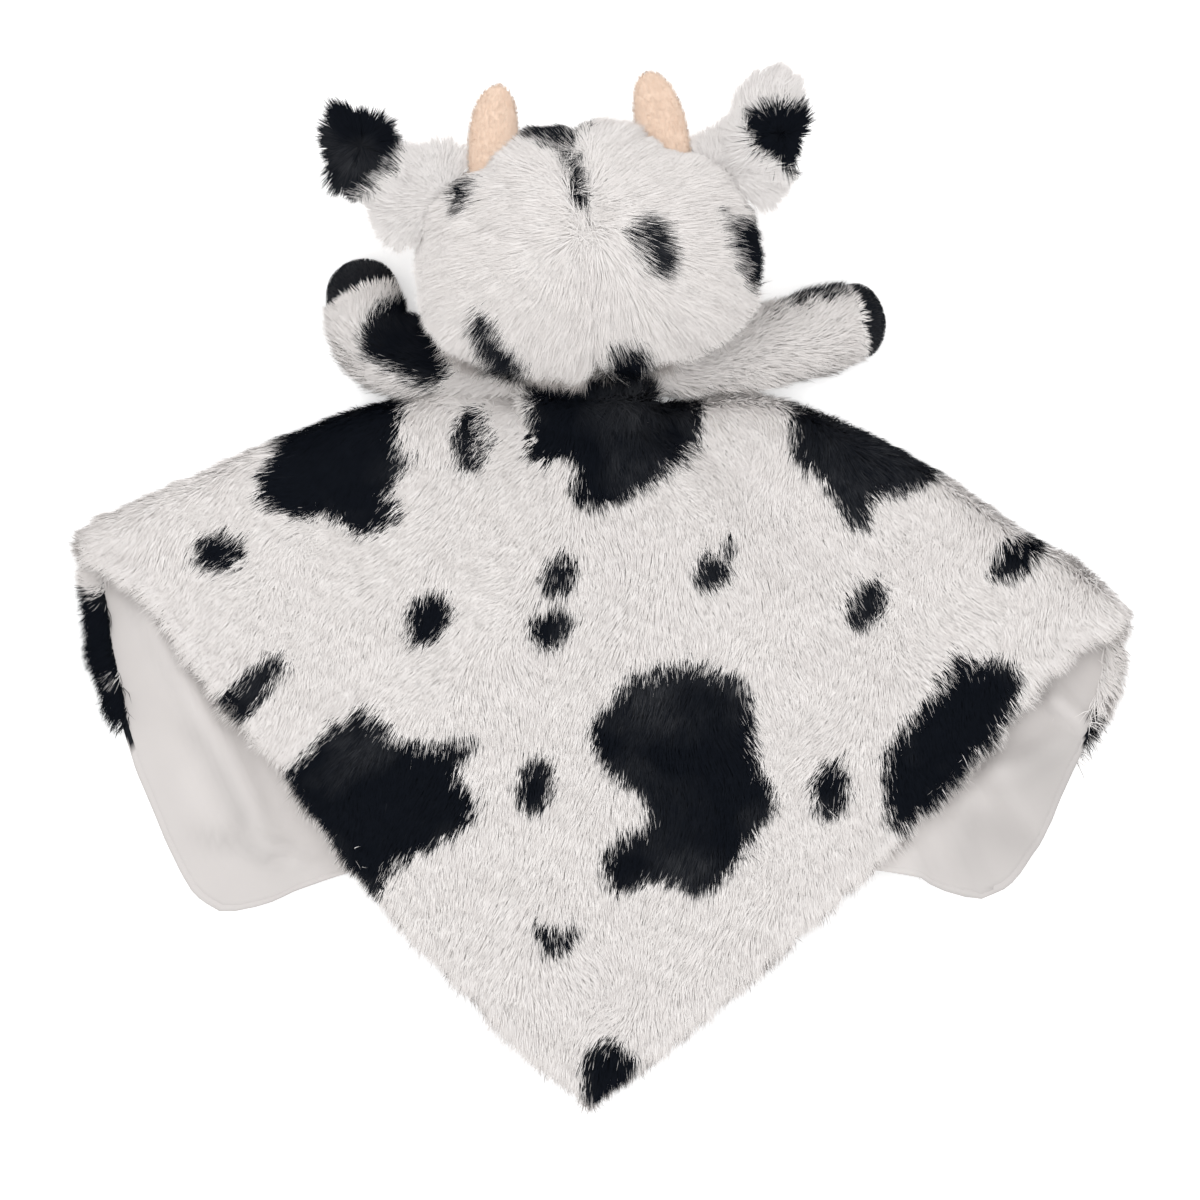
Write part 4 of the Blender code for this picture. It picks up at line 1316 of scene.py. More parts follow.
    def lies(self, shares: Array, stations: Array) -> Array:
        """Where the folded cloth lies away from the neck, for a share of the way to the hem.

        Bell curves draw the front half's hem in on each side and round off the back corner. Both
        side folds move outwards near the hem, and the back corner sideways.
        """
        cloth, lies_at, sideways, height = stations.T
        wide = np.abs(wrapped(cloth))
        shrink = 1 - (1 - self.front_shrink) * smooth(wide, self.left_fold, 90)
        drawn_in = self.hem_draw * bell(np.abs(lies_at) - self.draw_lies_at, self.draw_width)
        drawn_in = drawn_in * smooth(wide, 90, 100) + self.corner_round * bell(wide, self.tip_width)
        distance = self.hem_distance(cloth) * (shrink - drawn_in) * shares
        spread = 1 + np.where(lies_at > 0, self.left_spread, self.right_spread) * (1 - shares)
        way = np.radians(lies_at * spread)
        left, right = smooth(lies_at, *self.left_side), smooth(-lies_at, *self.right_side)
        fuller = smooth(shares, *self.fuller_rows)
        sideways = sideways + left * (self.left_fuller * fuller - self.left_waist * (1 - fuller))
        sideways = sideways - right * (self.right_fuller * fuller - self.right_waist * (1 - fuller))
        near_corner = bell(lies_at, self.corner_width) * (wide < 90)
        sideways = sideways + self.corner_shift * near_corner * smooth(shares, 0.5, 1)
        x = self.shift - np.sin(way) * distance - np.cos(way) * sideways
        y = self.neck_y - np.cos(way) * distance + np.sin(way) * sideways
        return np.stack([x, y, np.broadcast_to(height, x.shape)], axis=-1)

    def hem_moves(self, stations: Array) -> Array:
        """How far the hem moves across and up, so that it passes through the photograph's places.

        The moves at the named cloth angles are the places less where the hem lies, and in between
        they run straight.
        """
        cloth = wrapped(stations[:, 0])
        angles, pixels = np.array(HEM_PLACES)[:, 0], np.array(HEM_PLACES)[:, 1:]
        at = np.abs(cloth[:, None] - angles).argmin(axis=0)
        hem = self.lies(np.array([[1.0]]), stations)[0][at]
        moves = PHOTO.places(pixels, hem[:, 2]) - hem[:, :2]
        angles = np.concatenate([angles, HEM_STAYS])
        order = np.argsort(angles)
        moves = np.vstack([moves, np.zeros((len(HEM_STAYS), 2))])[order]
        return np.stack([np.interp(cloth, angles[order], moves[:, axis]) for axis in (0, 1)], axis=1)

    def middle(self) -> tuple[Surface, Array, Array]:
        """The surface between the plush and the lining.

        It starts as an upright oval ring at the neck and turns, between two shares of the way,
        into the folded cloth. Four rows inside the ring close it.

        Returns:
            The surface, the cloth angle of each column, and the share of each row.
        """
        stations = self.stations()
        hem = self.lies(np.array([[1.0]]), stations)[0]
        steps = np.linalg.norm(np.roll(hem, -1, axis=0) - hem, axis=1)
        travelled = np.concatenate([[0], np.cumsum(steps)[:-1]]) / steps.sum()
        back_corner = int(np.argmin(np.abs(stations[:, 0])))
        turn = FULL_TURN * (travelled - travelled[back_corner])
        cloth = self.plush * 0.4 + self.seam_gap / 2
        centre = np.array([0, self.neck_y - cloth, self.ring_height])
        ring = centre + np.stack([
            -self.ring_half_width * np.sin(turn), np.zeros_like(turn), self.ring_half_height * np.cos(turn),
        ], axis=-1)
        first, last = self.gather_rows
        shares = np.concatenate([np.linspace(first, last, 20), np.linspace(last, 1, 57)[1:]])
        column = shares[:, None]
        over = (self.stacked_rows, self.folded_rows)
        stacked, folded = (smooth(column, *limits)[..., None] for limits in over)
        laid = self.lies(column, stations)
        laid[..., :2] += smooth(column, *self.hem_rows)[..., None] * self.hem_moves(stations)
        points = ring + (laid - ring) * folded
        points = points - np.array([0, self.neck_length, 0]) * stacked * (1 - folded)
        points[..., 2] = ring[:, 2] + (laid[..., 2] - ring[:, 2]) * stacked[..., 0]
        angles = wrapped(stations[:, 0])
        points[..., 2] += self.relief(points, angles, shares)
        inner = [centre + (ring - centre) * share for share in (0, 0.35, 0.7, 0.9)]
        grid = np.concatenate([np.stack(inner), points])
        return Surface(grid, closed=True), angles, np.concatenate([np.zeros(len(inner)), shares])

    def relief(self, points: Array, angles: Array, shares: Array) -> Array:
        """Soft unevenness of cloth that lies loosely, and the creases of the lining that shows.

        A crease is a ridge whose height falls off as a bell curve from its line.
        """
        places = PHOTO.pixels(points)
        lifted = np.zeros(points.shape[:2])
        for line, height, width in CREASES:
            lifted += height * bell(from_line(places, line), width)
        front = smooth(np.abs(angles), self.left_fold + 2, self.left_fold + 10)
        uneven = self.unevenness * (1 + ripple(points[..., :2], self.unevenness_size, 21))
        return (lifted * front + np.maximum(uneven, 0)) * smooth(shares, 0.3, 0.6)[:, None]

    def build(self, finishes: Finishes) -> None:
        """The plush, the lining, the rolled hem and the piles."""
        middle, angles, rows = self.middle()
        well_out = len(rows) * 3 // 4
        if middle.normals()[well_out, int(np.argmin(np.abs(angles))), 2] < 0:
            middle.facing = -1.0
        half_gap = self.seam_gap / 2
        gathered = 0.4 + 0.6 * smooth(rows, *self.folded_rows)[:, None]
        inner, outer = middle.moved(half_gap), middle.moved(half_gap + self.backing * gathered)
        tone = black_on(outer, BLANKET_PATCHES) & (np.abs(angles) <= self.left_fold + 0.1)
        cloth = placed(
            shell("blanket_plush_backing", above_surface(outer), inner, tone),
            finishes["plush_backing"], Body.BLANKET, "blanket_plush",
        )
        pieces = self.piles(outer, angles, rows, finishes)
        lining = self.build_lining(middle, rows, finishes)
        roll = self.build_roll(middle, angles, finishes)

    def piles(
        self, outer: Surface, angles: Array, rows: Array, finishes: Finishes
    ) -> list[bpy.types.Object]:
        """The fur of the back half in three pieces, then of its folds, the collar round the neck,
        the back half's hem, the front half's hem and the underside.
        """
        shape = outer.points.shape[:2]
        wide, signed = np.broadcast_to(np.abs(angles), shape), np.broadcast_to(angles, shape)
        share = np.broadcast_to(rows[:, None], shape)
        up = outer.normals()[..., 2]
        on_back = wide <= self.left_fold + 0.1
        back = on_back & (up > 0) & (share > self.collar_rows[0])
        to_left, to_right = signed > self.back_split[1], signed <= self.back_split[0]
        at_fold = on_back & (up < 0.35) & (share > self.folds_from_row)
        at_collar = (share > self.collar_rows[0]) & (share < self.collar_rows[1])
        at_side = (wide > self.left_fold - 3) * (1 - smooth(wide, *self.side_ends))
        at_side = at_side * (share > self.side_from_row)
        at_edge = at_side + ((wide <= self.left_fold) & (share > self.edge_from_row)) * self.edge_weight
        in_front = (share > self.front_rows[0]) & (share < self.front_rows[1])
        at_front = (wide >= self.front_from) & in_front
        under = ~on_back & (share > self.under_rows[0]) & (share <= self.under_rows[1])
        both = BLANKET_PATCHES + FRONT_EDGE_PATCHES
        kinds = (
            ("left", self.back_strands, back & to_left, self.pile, BLANKET_PATCHES, 0),
            ("middle", self.back_strands, back & ~(to_left | to_right), self.pile, BLANKET_PATCHES, 1),
            ("right", self.back_strands, back & to_right, self.pile, BLANKET_PATCHES, 2),
            ("folds", self.fold_strands, at_fold, self.fold_pile, both, 9),
            ("collar", self.collar_strands, at_collar, self.collar_pile, both, 8),
            ("edges", self.edge_strands, at_edge, self.fringe_pile, both, 10),
            ("front", self.front_strands, at_front, self.short_pile, both, 12),
            ("under", self.under_strands, under, self.hidden_pile, UNDER_PATCHES, 11),
        )
        made = []
        for word, count, weight, pile, patches, seed in kinds:
            roots = outer.scatter(count, np.random.default_rng(100 + seed), weight.astype(float))
            draw = np.random.default_rng(200 + seed)
            made.append(self.pile_piece(f"blanket_pile_{word}", roots, pile, patches, draw, finishes))
        return made

    def pile_piece(
        self,
        name: str,
        roots: Roots,
        pile: Pile,
        patches: tuple[Patch, ...],
        draw: np.random.Generator,
        finishes: Finishes,
    ) -> bpy.types.Object:
        """One piece of pile, combed down the blanket and outwards with a slow wander.

        Near the hem it is combed straight outwards, and at the collar up towards the head.
        """
        comb = self.comb_share * np.array(self.comb_down) + self.comb_share * roots.ways
        comb = comb + 0.4 * wander(roots.points, 45 * MM, 31)
        near_hem = smooth(roots.rows, *self.comb_hem_rows)[:, None]
        comb = comb * (1 - near_hem) + roots.ways * self.comb_hem * near_hem
        collar = (1 - smooth(roots.rows, *self.comb_collar_rows))[:, None]
        comb = comb * (1 - collar) + np.array(self.comb_collar) * collar
        scale = np.ones(len(roots.points))
        for x, y, reach, change in SHORTENED:
            off = np.linalg.norm(PHOTO.pixels(roots.points) - (x, y), axis=1)
            scale = scale + change * bell(off, reach)
        mesh = pile.grow(name, roots, comb, Tint(patches, BLANKET_FROST), draw, scale)
        # The folds take the paler copy of the white plush: painted light.
        finish = finishes["fold_strands" if pile is self.fold_pile else "plush_strands"]
        return placed(mesh, finish, Body.BLANKET)

    def build_lining(self, middle: Surface, rows: Array, finishes: Finishes) -> bpy.types.Object:
        """The smooth square, from clear of the gather to the hem."""
        kept = rows >= self.lining_start
        outer, inner = (
            Surface(middle.moved(-self.seam_gap / 2 - depth).points[kept], True, -middle.facing)
            for depth in (self.lining, 0)
        )
        mesh = shell("blanket_lining_cloth", outer, inner)
        # Painted shade in the lining's hollows and painted light beside the back half's edges.
        set_values(mesh, dim=painted_dimness(PHOTO.pixels(points_of(mesh))))
        return placed(mesh, finishes["smooth_lining"], Body.BLANKET, "blanket_lining")

    def build_roll(self, middle: Surface, angles: Array, finishes: Finishes) -> list[bpy.types.Object]:
        """The hem: the plush turned round the edge and a little way over the lining.

        Across the hem it goes half round a circle and then straight back, sinking into the lining.
        Beside the two side folds it comes further over, and its pile shows beside the lining.
        """
        normals = middle.normals()[-1]
        out = unit(middle.points[-1] - middle.points[-2])
        plush = middle.points[-1] + normals * (self.seam_gap / 2 + self.backing)
        lining = middle.points[-1] - normals * (self.seam_gap / 2 + self.lining + self.roll_rise)
        centre, radius = (plush + lining) / 2, np.linalg.norm(plush - lining, axis=1)[:, None] / 2
        left, right = between(angles, *self.roll_left), between(-angles, *self.roll_right)
        width = (self.roll_width + self.roll_extra * (left + right))[:, None]
        rows = [
            centre + normals * radius * math.cos(turn) + out * radius * math.sin(turn)
            for turn in np.linspace(0, math.pi, 9)
        ]
        rows += [
            lining - out * width * share + normals * sunk * MM
            for share, sunk in ((0.2, 0.03), (0.45, 0.1), (0.7, 0.2), (0.9, 0.3), (1.0, 0.45))
        ]
        strip = Surface(np.stack(rows), True, -middle.facing)
        if (strip.normals()[4] * out).sum(axis=1).mean() < 0:
            strip.facing = -strip.facing
        # The hem's tone is black in its black patches and elsewhere carries the lining's painted shade and
        # light.
        dim = HEM_DIM * painted_dimness(PHOTO.pixels(strip.points.reshape(-1, 3)))
        tone = np.where(black_on(strip, FRONT_EDGE_PATCHES), 1.0, dim.reshape(strip.points.shape[:2]))
        mesh = shell("blanket_hem", strip, strip.moved(-self.roll_cloth), tone)
        hem = placed(mesh, finishes["hem_backing"], Body.BLANKET)
        shown = np.broadcast_to((left + 0.35 * right)[None], strip.points.shape[:2]).copy()
        shown[:3] = 0
        shown[1:6] += 0.5 * (1 - smooth(np.abs(angles), 64, 80))[None]
        roots = strip.scatter(self.roll_strands, np.random.default_rng(120), shown)
        column = np.minimum((roots.columns * len(angles)).astype(int), len(angles) - 1)
        comb = out[column] + 0.3 * wander(roots.points, 20 * MM, 41)
        fringe = self.fringe_pile.grow(
            "blanket_pile_roll", roots, comb, Tint(FRONT_EDGE_PATCHES), np.random.default_rng(220)
        )
        return [hem, placed(fringe, finishes["plush_strands"], Body.BLANKET)]


FACE_PATCHES = (
    oval("eye patch, left", 505, 245, 30, 36, 15),
    oval("forehead", 640, 215, 34, 24),
)


@dataclass
class Head:
    """The stuffed head: an ellipsoid in three panels of long plush, with a seam down its back."""

    centre: tuple[float, float, float] = (0.0, 7.0 * MM, 52.0 * MM)
    semi_axes: tuple[float, float, float] = (54.0 * MM, 40.0 * MM, 38.0 * MM)
    tilt: float = 4.9
    face_seam: float = 0.42
    panel_gap: float = 0.6 * MM
    back_margin: float = 0.35
    pole: float = 0.006
    inset: float = 1.8 * MM
    cloth: float = 1.4 * MM
    cheek: float = 0.11
    cheek_ways: Place = (218.0, 322.0)
    cheek_width: float = 26.0
    seam_dip: float = 1.6 * MM
    seam_width: float = 2.4 * MM
    cheeks: tuple[Place, ...] = ((438, 340), (734, 335))
    horn_feet: tuple[Place, ...] = ((488, 168), (663, 152))
    parting: tuple[Place, ...] = ((572, 132), (578, 178), (592, 226))
    neck: tuple[float, float, float] = (0.0, -29.5 * MM, 30.0 * MM)
    socket: float = 10.4 * MM
    strands: int = 58000
    face_strands: int = 22000
    pile: Pile = Pile(11.5 * MM, 0.25 * MM, 38, 12, 0.11, 2.6 * MM, 0.10, uneven=0.16)

    @property
    def seam_z(self) -> float:
        """The height of the face's seam over the head's middle."""
        return self.semi_axes[2] * (2 * self.face_seam - 1)

    def place(self, local: Array) -> Array:
        """Points of the head's own frame, in the toy's."""
        return turned(local, self.tilt) + np.array(self.centre)

    def skin(self, polar: Array, azimuth: Array, closed: bool = False) -> Surface:
        """Part of the head's surface, a little inside the solid one.

        It is a globe times the semi-axes, pushed out as bell curves at the two cheeks. It dips as
        a bell curve at the seams, and lies no nearer to the neck's middle than the socket's radius.
        """
        sphere = globe(polar, azimuth)
        off_cheek = np.array([wrapped(np.degrees(azimuth) - way) for way in self.cheek_ways])
        cheeks = self.cheek * bell(off_cheek, self.cheek_width).sum(axis=0) * np.sin(polar[:, None]) ** 3
        local = sphere * np.array(self.semi_axes)
        local[..., :2] *= 1 + cheeks[..., None]
        across = np.where(local[..., 2] > self.seam_z, np.abs(local[..., 0]), 1.0)
        away = np.minimum(across, np.abs(local[..., 2] - self.seam_z))
        dip = self.seam_dip * bell(away, self.seam_width)
        outwards = unit(sphere / np.array(self.semi_axes))
        points = self.place(local - outwards * (self.inset + dip)[..., None])
        neck = np.array(self.neck)
        off = points - neck
        distance = np.linalg.norm(off, axis=-1, keepdims=True)
        points = np.where(distance < self.socket, neck + off / distance * self.socket, points)
        return Surface(points, closed)

    def build(self, finishes: Finishes) -> None:
        """The three panels and their piles."""
        depth = self.semi_axes[2]
        top, low = (math.acos((self.seam_z + gap / 2) / depth) for gap in (self.panel_gap, -self.panel_gap))
        margin, quarter = math.radians(self.back_margin), math.pi / 2
        back, face = np.linspace(self.pole, top, 44), np.linspace(low, math.pi, 36)
        panels = (
            ("back_left", back, np.linspace(quarter + margin, 3 * quarter - margin, 72)),
            ("back_right", back, np.linspace(-quarter + margin, quarter - margin, 72)),
            ("face_panel", face, np.linspace(0, FULL_TURN, 100, endpoint=False)),
        )
        for seed, (word, polar, azimuth) in enumerate(panels):
            outer = self.skin(polar, azimuth, word == "face_panel")
            tone = black_on(outer, HEAD_PATCHES) & (outer.normals()[..., 2] > 0.1)
            placed(
                shell(f"head_{word}_cloth", outer, outer.moved(-self.cloth), tone),
                finishes["plush_backing"], Body.HEAD, f"head_{word}",
            )
            self.grow(word, outer, seed, finishes)

    def from_parting(self, points: Array) -> tuple[Array, Array]:
        """The way out from the parting's nearest place, and how far off that is in pixels.

        The way also leads down from the parting's height, so that it goes round the head.
        """
        gaps = gaps_from(PHOTO.pixels(points), np.array(self.parting))
        distances = np.linalg.norm(gaps, axis=-1)
        nearest = gaps[np.arange(len(points)), distances.argmin(axis=1)] * PHOTO.pixel_size
        drop = points[:, 2] - (self.centre[2] + self.semi_axes[2])
        return unit(np.column_stack([nearest[:, 0], -nearest[:, 1], drop])), distances.min(axis=1)

    def grow(self, word: str, outer: Surface, seed: int, finishes: Finishes) -> None:
        """The long pile of one panel, combed away from the parting at the back of the head.

        It is shorter at the parting and at the horns, and longer at the cheeks and by the neck.
        """
        off = outer.points - np.array(self.neck)
        clear = np.linalg.norm(off, axis=-1) > self.socket + 2 * MM
        on_face = word == "face_panel"
        count = self.face_strands if on_face else self.strands
        roots = outer.scatter(count, np.random.default_rng(300 + seed), clear.astype(float))
        away, distance = self.from_parting(roots.points)
        settled = smooth(distance, 0, 34)[:, None]
        comb = away * (0.25 + 0.75 * settled) + (0.5 - 0.3 * settled) * wander(roots.points, 24 * MM, 51)
        below = 1 - smooth(roots.points[:, 1], self.neck[1] - 1 * MM, self.neck[1] + 12 * MM)
        comb = comb + below[:, None] * np.array([0, -0.9, 0.6])
        scale = (1 - 0.25 * bell(distance, 26)) * (1 + 0.3 * below)
        seen = PHOTO.pixels(roots.points)
        for spots, change, reach in ((self.cheeks, 0.3, 42), (self.horn_feet, -0.62, 27)):
            near = bell(np.array([np.linalg.norm(seen - spot, axis=1) for spot in spots]), reach)
            scale = scale * (1 + change * near.sum(axis=0))
        tint = Tint(FACE_PATCHES if on_face else HEAD_PATCHES, HEAD_FROST)
        draw = np.random.default_rng(310 + seed)
        mesh = self.pile.grow(f"head_{word}_pile", roots, comb, tint, draw, scale)
        # The paler copy of the white plush: painted light.
        placed(mesh, finishes["head_strands"], Body.HEAD)


@dataclass
class Horns:
    """Two stuffed velour horns in the seam across the top of the head."""

    head: Head
    length: float = 32.0 * MM
    width: float = 18.0 * MM
    thickness: float = 12.0 * MM
    spacing: float = 58.0 * MM
    root_back: float = 7.0 * MM
    sunk: float = 2.45 * MM
    lean: float = 2.0
    curl: float = 5.0 * MM
    bluntness: float = 3.4
    waist: float = 0.06
    strands: int = 6000
    nap: Pile = Pile(1.5 * MM, 0.16 * MM, 62, 30, 0.5, 1.1 * MM, 0.35)

    def skin(self, side: Side, shrink: float) -> Surface:
        """A horn's surface, less a shrinkage all round.

        Its half width is the square root of one less a high power, the bluntness, of the share of
        its length, a little narrower at the root. Its middle line curls inwards with the share
        squared.
        """
        share = 1 - (1 - np.linspace(0, 1, 46)) ** 1.6
        taper = np.sqrt(np.maximum(1 - share**self.bluntness, 0)) * (1 - self.waist * bell(share, 0.08))
        lean = math.radians(self.lean) * side.value
        up = np.array([math.sin(lean), math.cos(lean), 0])
        aside = np.array([math.cos(lean), -math.sin(lean), 0]) * side.value
        length = self.length - shrink
        path = up * (share * length)[:, None] - aside * (self.curl * share**2)[:, None]
        semi = np.array(self.head.semi_axes)
        outer = (self.spacing / 2 + self.width / 2) / semi[0]
        rise = semi[1] * math.sqrt(1 - outer**2 - (self.root_back / semi[2]) ** 2) - self.sunk
        centres = self.head.place(path + np.array([side.value * self.spacing / 2, rise, self.root_back]))
        wide = taper * (self.width / 2 - shrink)
        high = taper * (self.thickness / 2 - shrink)
        wide[-1] = high[-1] = 0
        return tube(centres, np.broadcast_to(UP, centres.shape), wide, high, 40)

    def build(self, finishes: Finishes) -> None:
        """A cover of velour with its nap for each horn."""
        for side in Side:
            outer = self.skin(side, 0.35 * MM)
            placed(
                shell(f"horn_{side.word}_velour", outer, self.skin(side, 1.2 * MM)),
                finishes["peach_velour"], Body.HEAD, f"horn_{side.word}_cover",
            )
            draw = np.random.default_rng(400 + side.value)
            roots = outer.scatter(self.strands, draw)
            comb = roots.ways + 0.3 * wander(roots.points, 9 * MM, 61)
            mesh = self.nap.grow(f"horn_{side.word}_nap", roots, comb, Tint(), draw)
            placed(mesh, finishes["peach_nap"], Body.HEAD)


@dataclass
class Ear:
    """An ear: long plush behind and peach velour inside, cupped across.

    Its half width is an even curve through eight shares on each side of its middle line.
    """

    side: Side
    body: Body
    length: float
    heading: float
    lower: tuple[float, ...]
    upper: tuple[float, ...]
    patches: tuple[Patch, ...]
    tuft: Tuft
    width: float = 31.0 * MM
    cup: float = 5.0 * MM
    root_rise: float = 20.0 * MM
    root_back: float = 5.0 * MM
    standoff: float = 1.28 * MM
    strands: int = 21000
    nap_strands: int = 4000
    pile: Pile = Pile(8.5 * MM, 0.26 * MM, 44, 16, 0.22, 2.6 * MM, 0.6)
    nap: Pile = Pile(1.4 * MM, 0.13 * MM, 60, 28, 0.5, 1.1 * MM, 0.3)

    def skin(self, head: Head, height: float, narrower: float = 0.0) -> Surface:
        """The ear's surface at a height over its pivot, rows from the root to the tip.

        Across, the cup falls with the square of the share of the half width.
        """
        along = np.linspace(0, 1, 40)
        across = np.linspace(-1, 1, 31)
        lower, upper = (curve_through(np.array(shares)[:, None], 40) for shares in (self.lower, self.upper))
        shares = np.where(across * self.side.value < 0, lower, upper)
        half = np.maximum(shares * self.width / 2 - narrower, 0.6 * MM)
        drop = self.cup * shares * across**2 * ((along * 7 + 1) / 8)[:, None]
        x = np.broadcast_to((along * (self.length - narrower))[:, None], drop.shape)
        local = np.stack([x, half * across, height - drop], axis=-1)
        semi = np.array(head.semi_axes)
        out = semi[0] * math.sqrt(1 - (self.root_rise / semi[1]) ** 2 - (self.root_back / semi[2]) ** 2)
        root = np.array([self.side.value * (out + self.standoff), self.root_rise, self.root_back])
        surface = Surface(head.place(turned(local, self.heading) + root))
        if surface.normals()[20, 15, 2] < 0:
            surface.facing = -1.0
        return surface

    def build(self, head: Head, finishes: Finishes) -> None:
        """The plush back with its pile and the velour inside with its nap."""
        word = self.side.word
        outer, inner = self.skin(head, -1.4 * MM, 0.4 * MM), self.skin(head, -3.0 * MM, 0.4 * MM)
        placed(
            shell(f"ear_{word}_cloth", outer, inner, black_on(outer, self.patches)),
            finishes["plush_backing"], self.body, f"ear_{word}_back",
        )
        draw = np.random.default_rng(500 + self.side.value)
        rim = np.ones(outer.points.shape[:2])
        rim[:, (0, 1, -2, -1)] = 3.0
        rim[-4:] = 3.0
        rim[:6] = 2.0
        roots = outer.scatter(self.strands, draw, rim)
        edge = (2 * roots.columns - 1)[:, None]
        sideways = flattened(np.cross(roots.ways, roots.normals), roots.normals)
        at_root = 1 - smooth(roots.rows, 0.1, 0.4)[:, None]
        comb = roots.ways * (1 - 0.7 * at_root) - sideways * edge * (0.6 * edge**2 + 1.2 * at_root)
        comb, scale = self.tuft.combed(roots, comb + 0.2 * wander(roots.points, 15 * MM, 71))
        scale = scale * draw.uniform(0.65, 1.35, len(scale))
        mesh = self.pile.grow(f"ear_{word}_pile", roots, comb, Tint(self.patches), draw, scale)
        # The ears' darker copy of the white plush: painted shade.
        placed(mesh, finishes["ear_strands"], self.body)
        self.build_inside(head, finishes)

    def build_inside(self, head: Head, finishes: Finishes) -> None:
        """The velour, which faces the table."""
        word = self.side.word
        top, bottom = self.skin(head, -3.5 * MM), self.skin(head, -4.6 * MM)
        mesh = shell(f"ear_{word}_velour", top, bottom)
        placed(mesh, finishes["peach_velour"], self.body, f"ear_{word}_lining")
        draw = np.random.default_rng(520 + self.side.value)
        roots = Surface(bottom.points, facing=-bottom.facing).scatter(self.nap_strands, draw)
        mesh = self.nap.grow(f"ear_{word}_nap", roots, roots.ways, Tint(), draw)
        placed(mesh, finishes["peach_nap"], self.body)


EARS = (
    Ear(
        Side.LEFT, Body.EAR_LEFT, 43.0 * MM, 141.0,
        (0.86, 1.20, 1.10, 0.92, 0.82, 0.72, 0.54, 0.2),
        (0.70, 0.86, 0.50, 0.27, 0.30, 0.36, 0.34, 0.2),
        (
            Patch("left ear's tip", (
                (398, 110), (404, 140), (399, 166), (385, 184), (362, 194), (345, 205), (318, 212),
                (306, 150), (312, 100), (350, 92),
            )),
        ),
        Tuft(361, 145, 46, (38, 135, 232)),
    ),
    Ear(
        Side.RIGHT, Body.EAR_RIGHT, 37.0 * MM, 50.0,
        (0.80, 1.06, 1.06, 0.92, 0.85, 0.72, 0.52, 0.25),
        (0.66, 0.70, 0.50, 0.42, 0.48, 0.52, 0.52, 0.3),
        (
            Patch("right ear's edge", (
                (746, 120), (762, 108), (781, 99), (800, 101), (836, 92), (840, 150), (812, 182),
                (788, 174), (764, 158), (750, 140),
            )),
        ),
        Tuft(779, 134, 40, (33, 285, 200)),
    ),
)


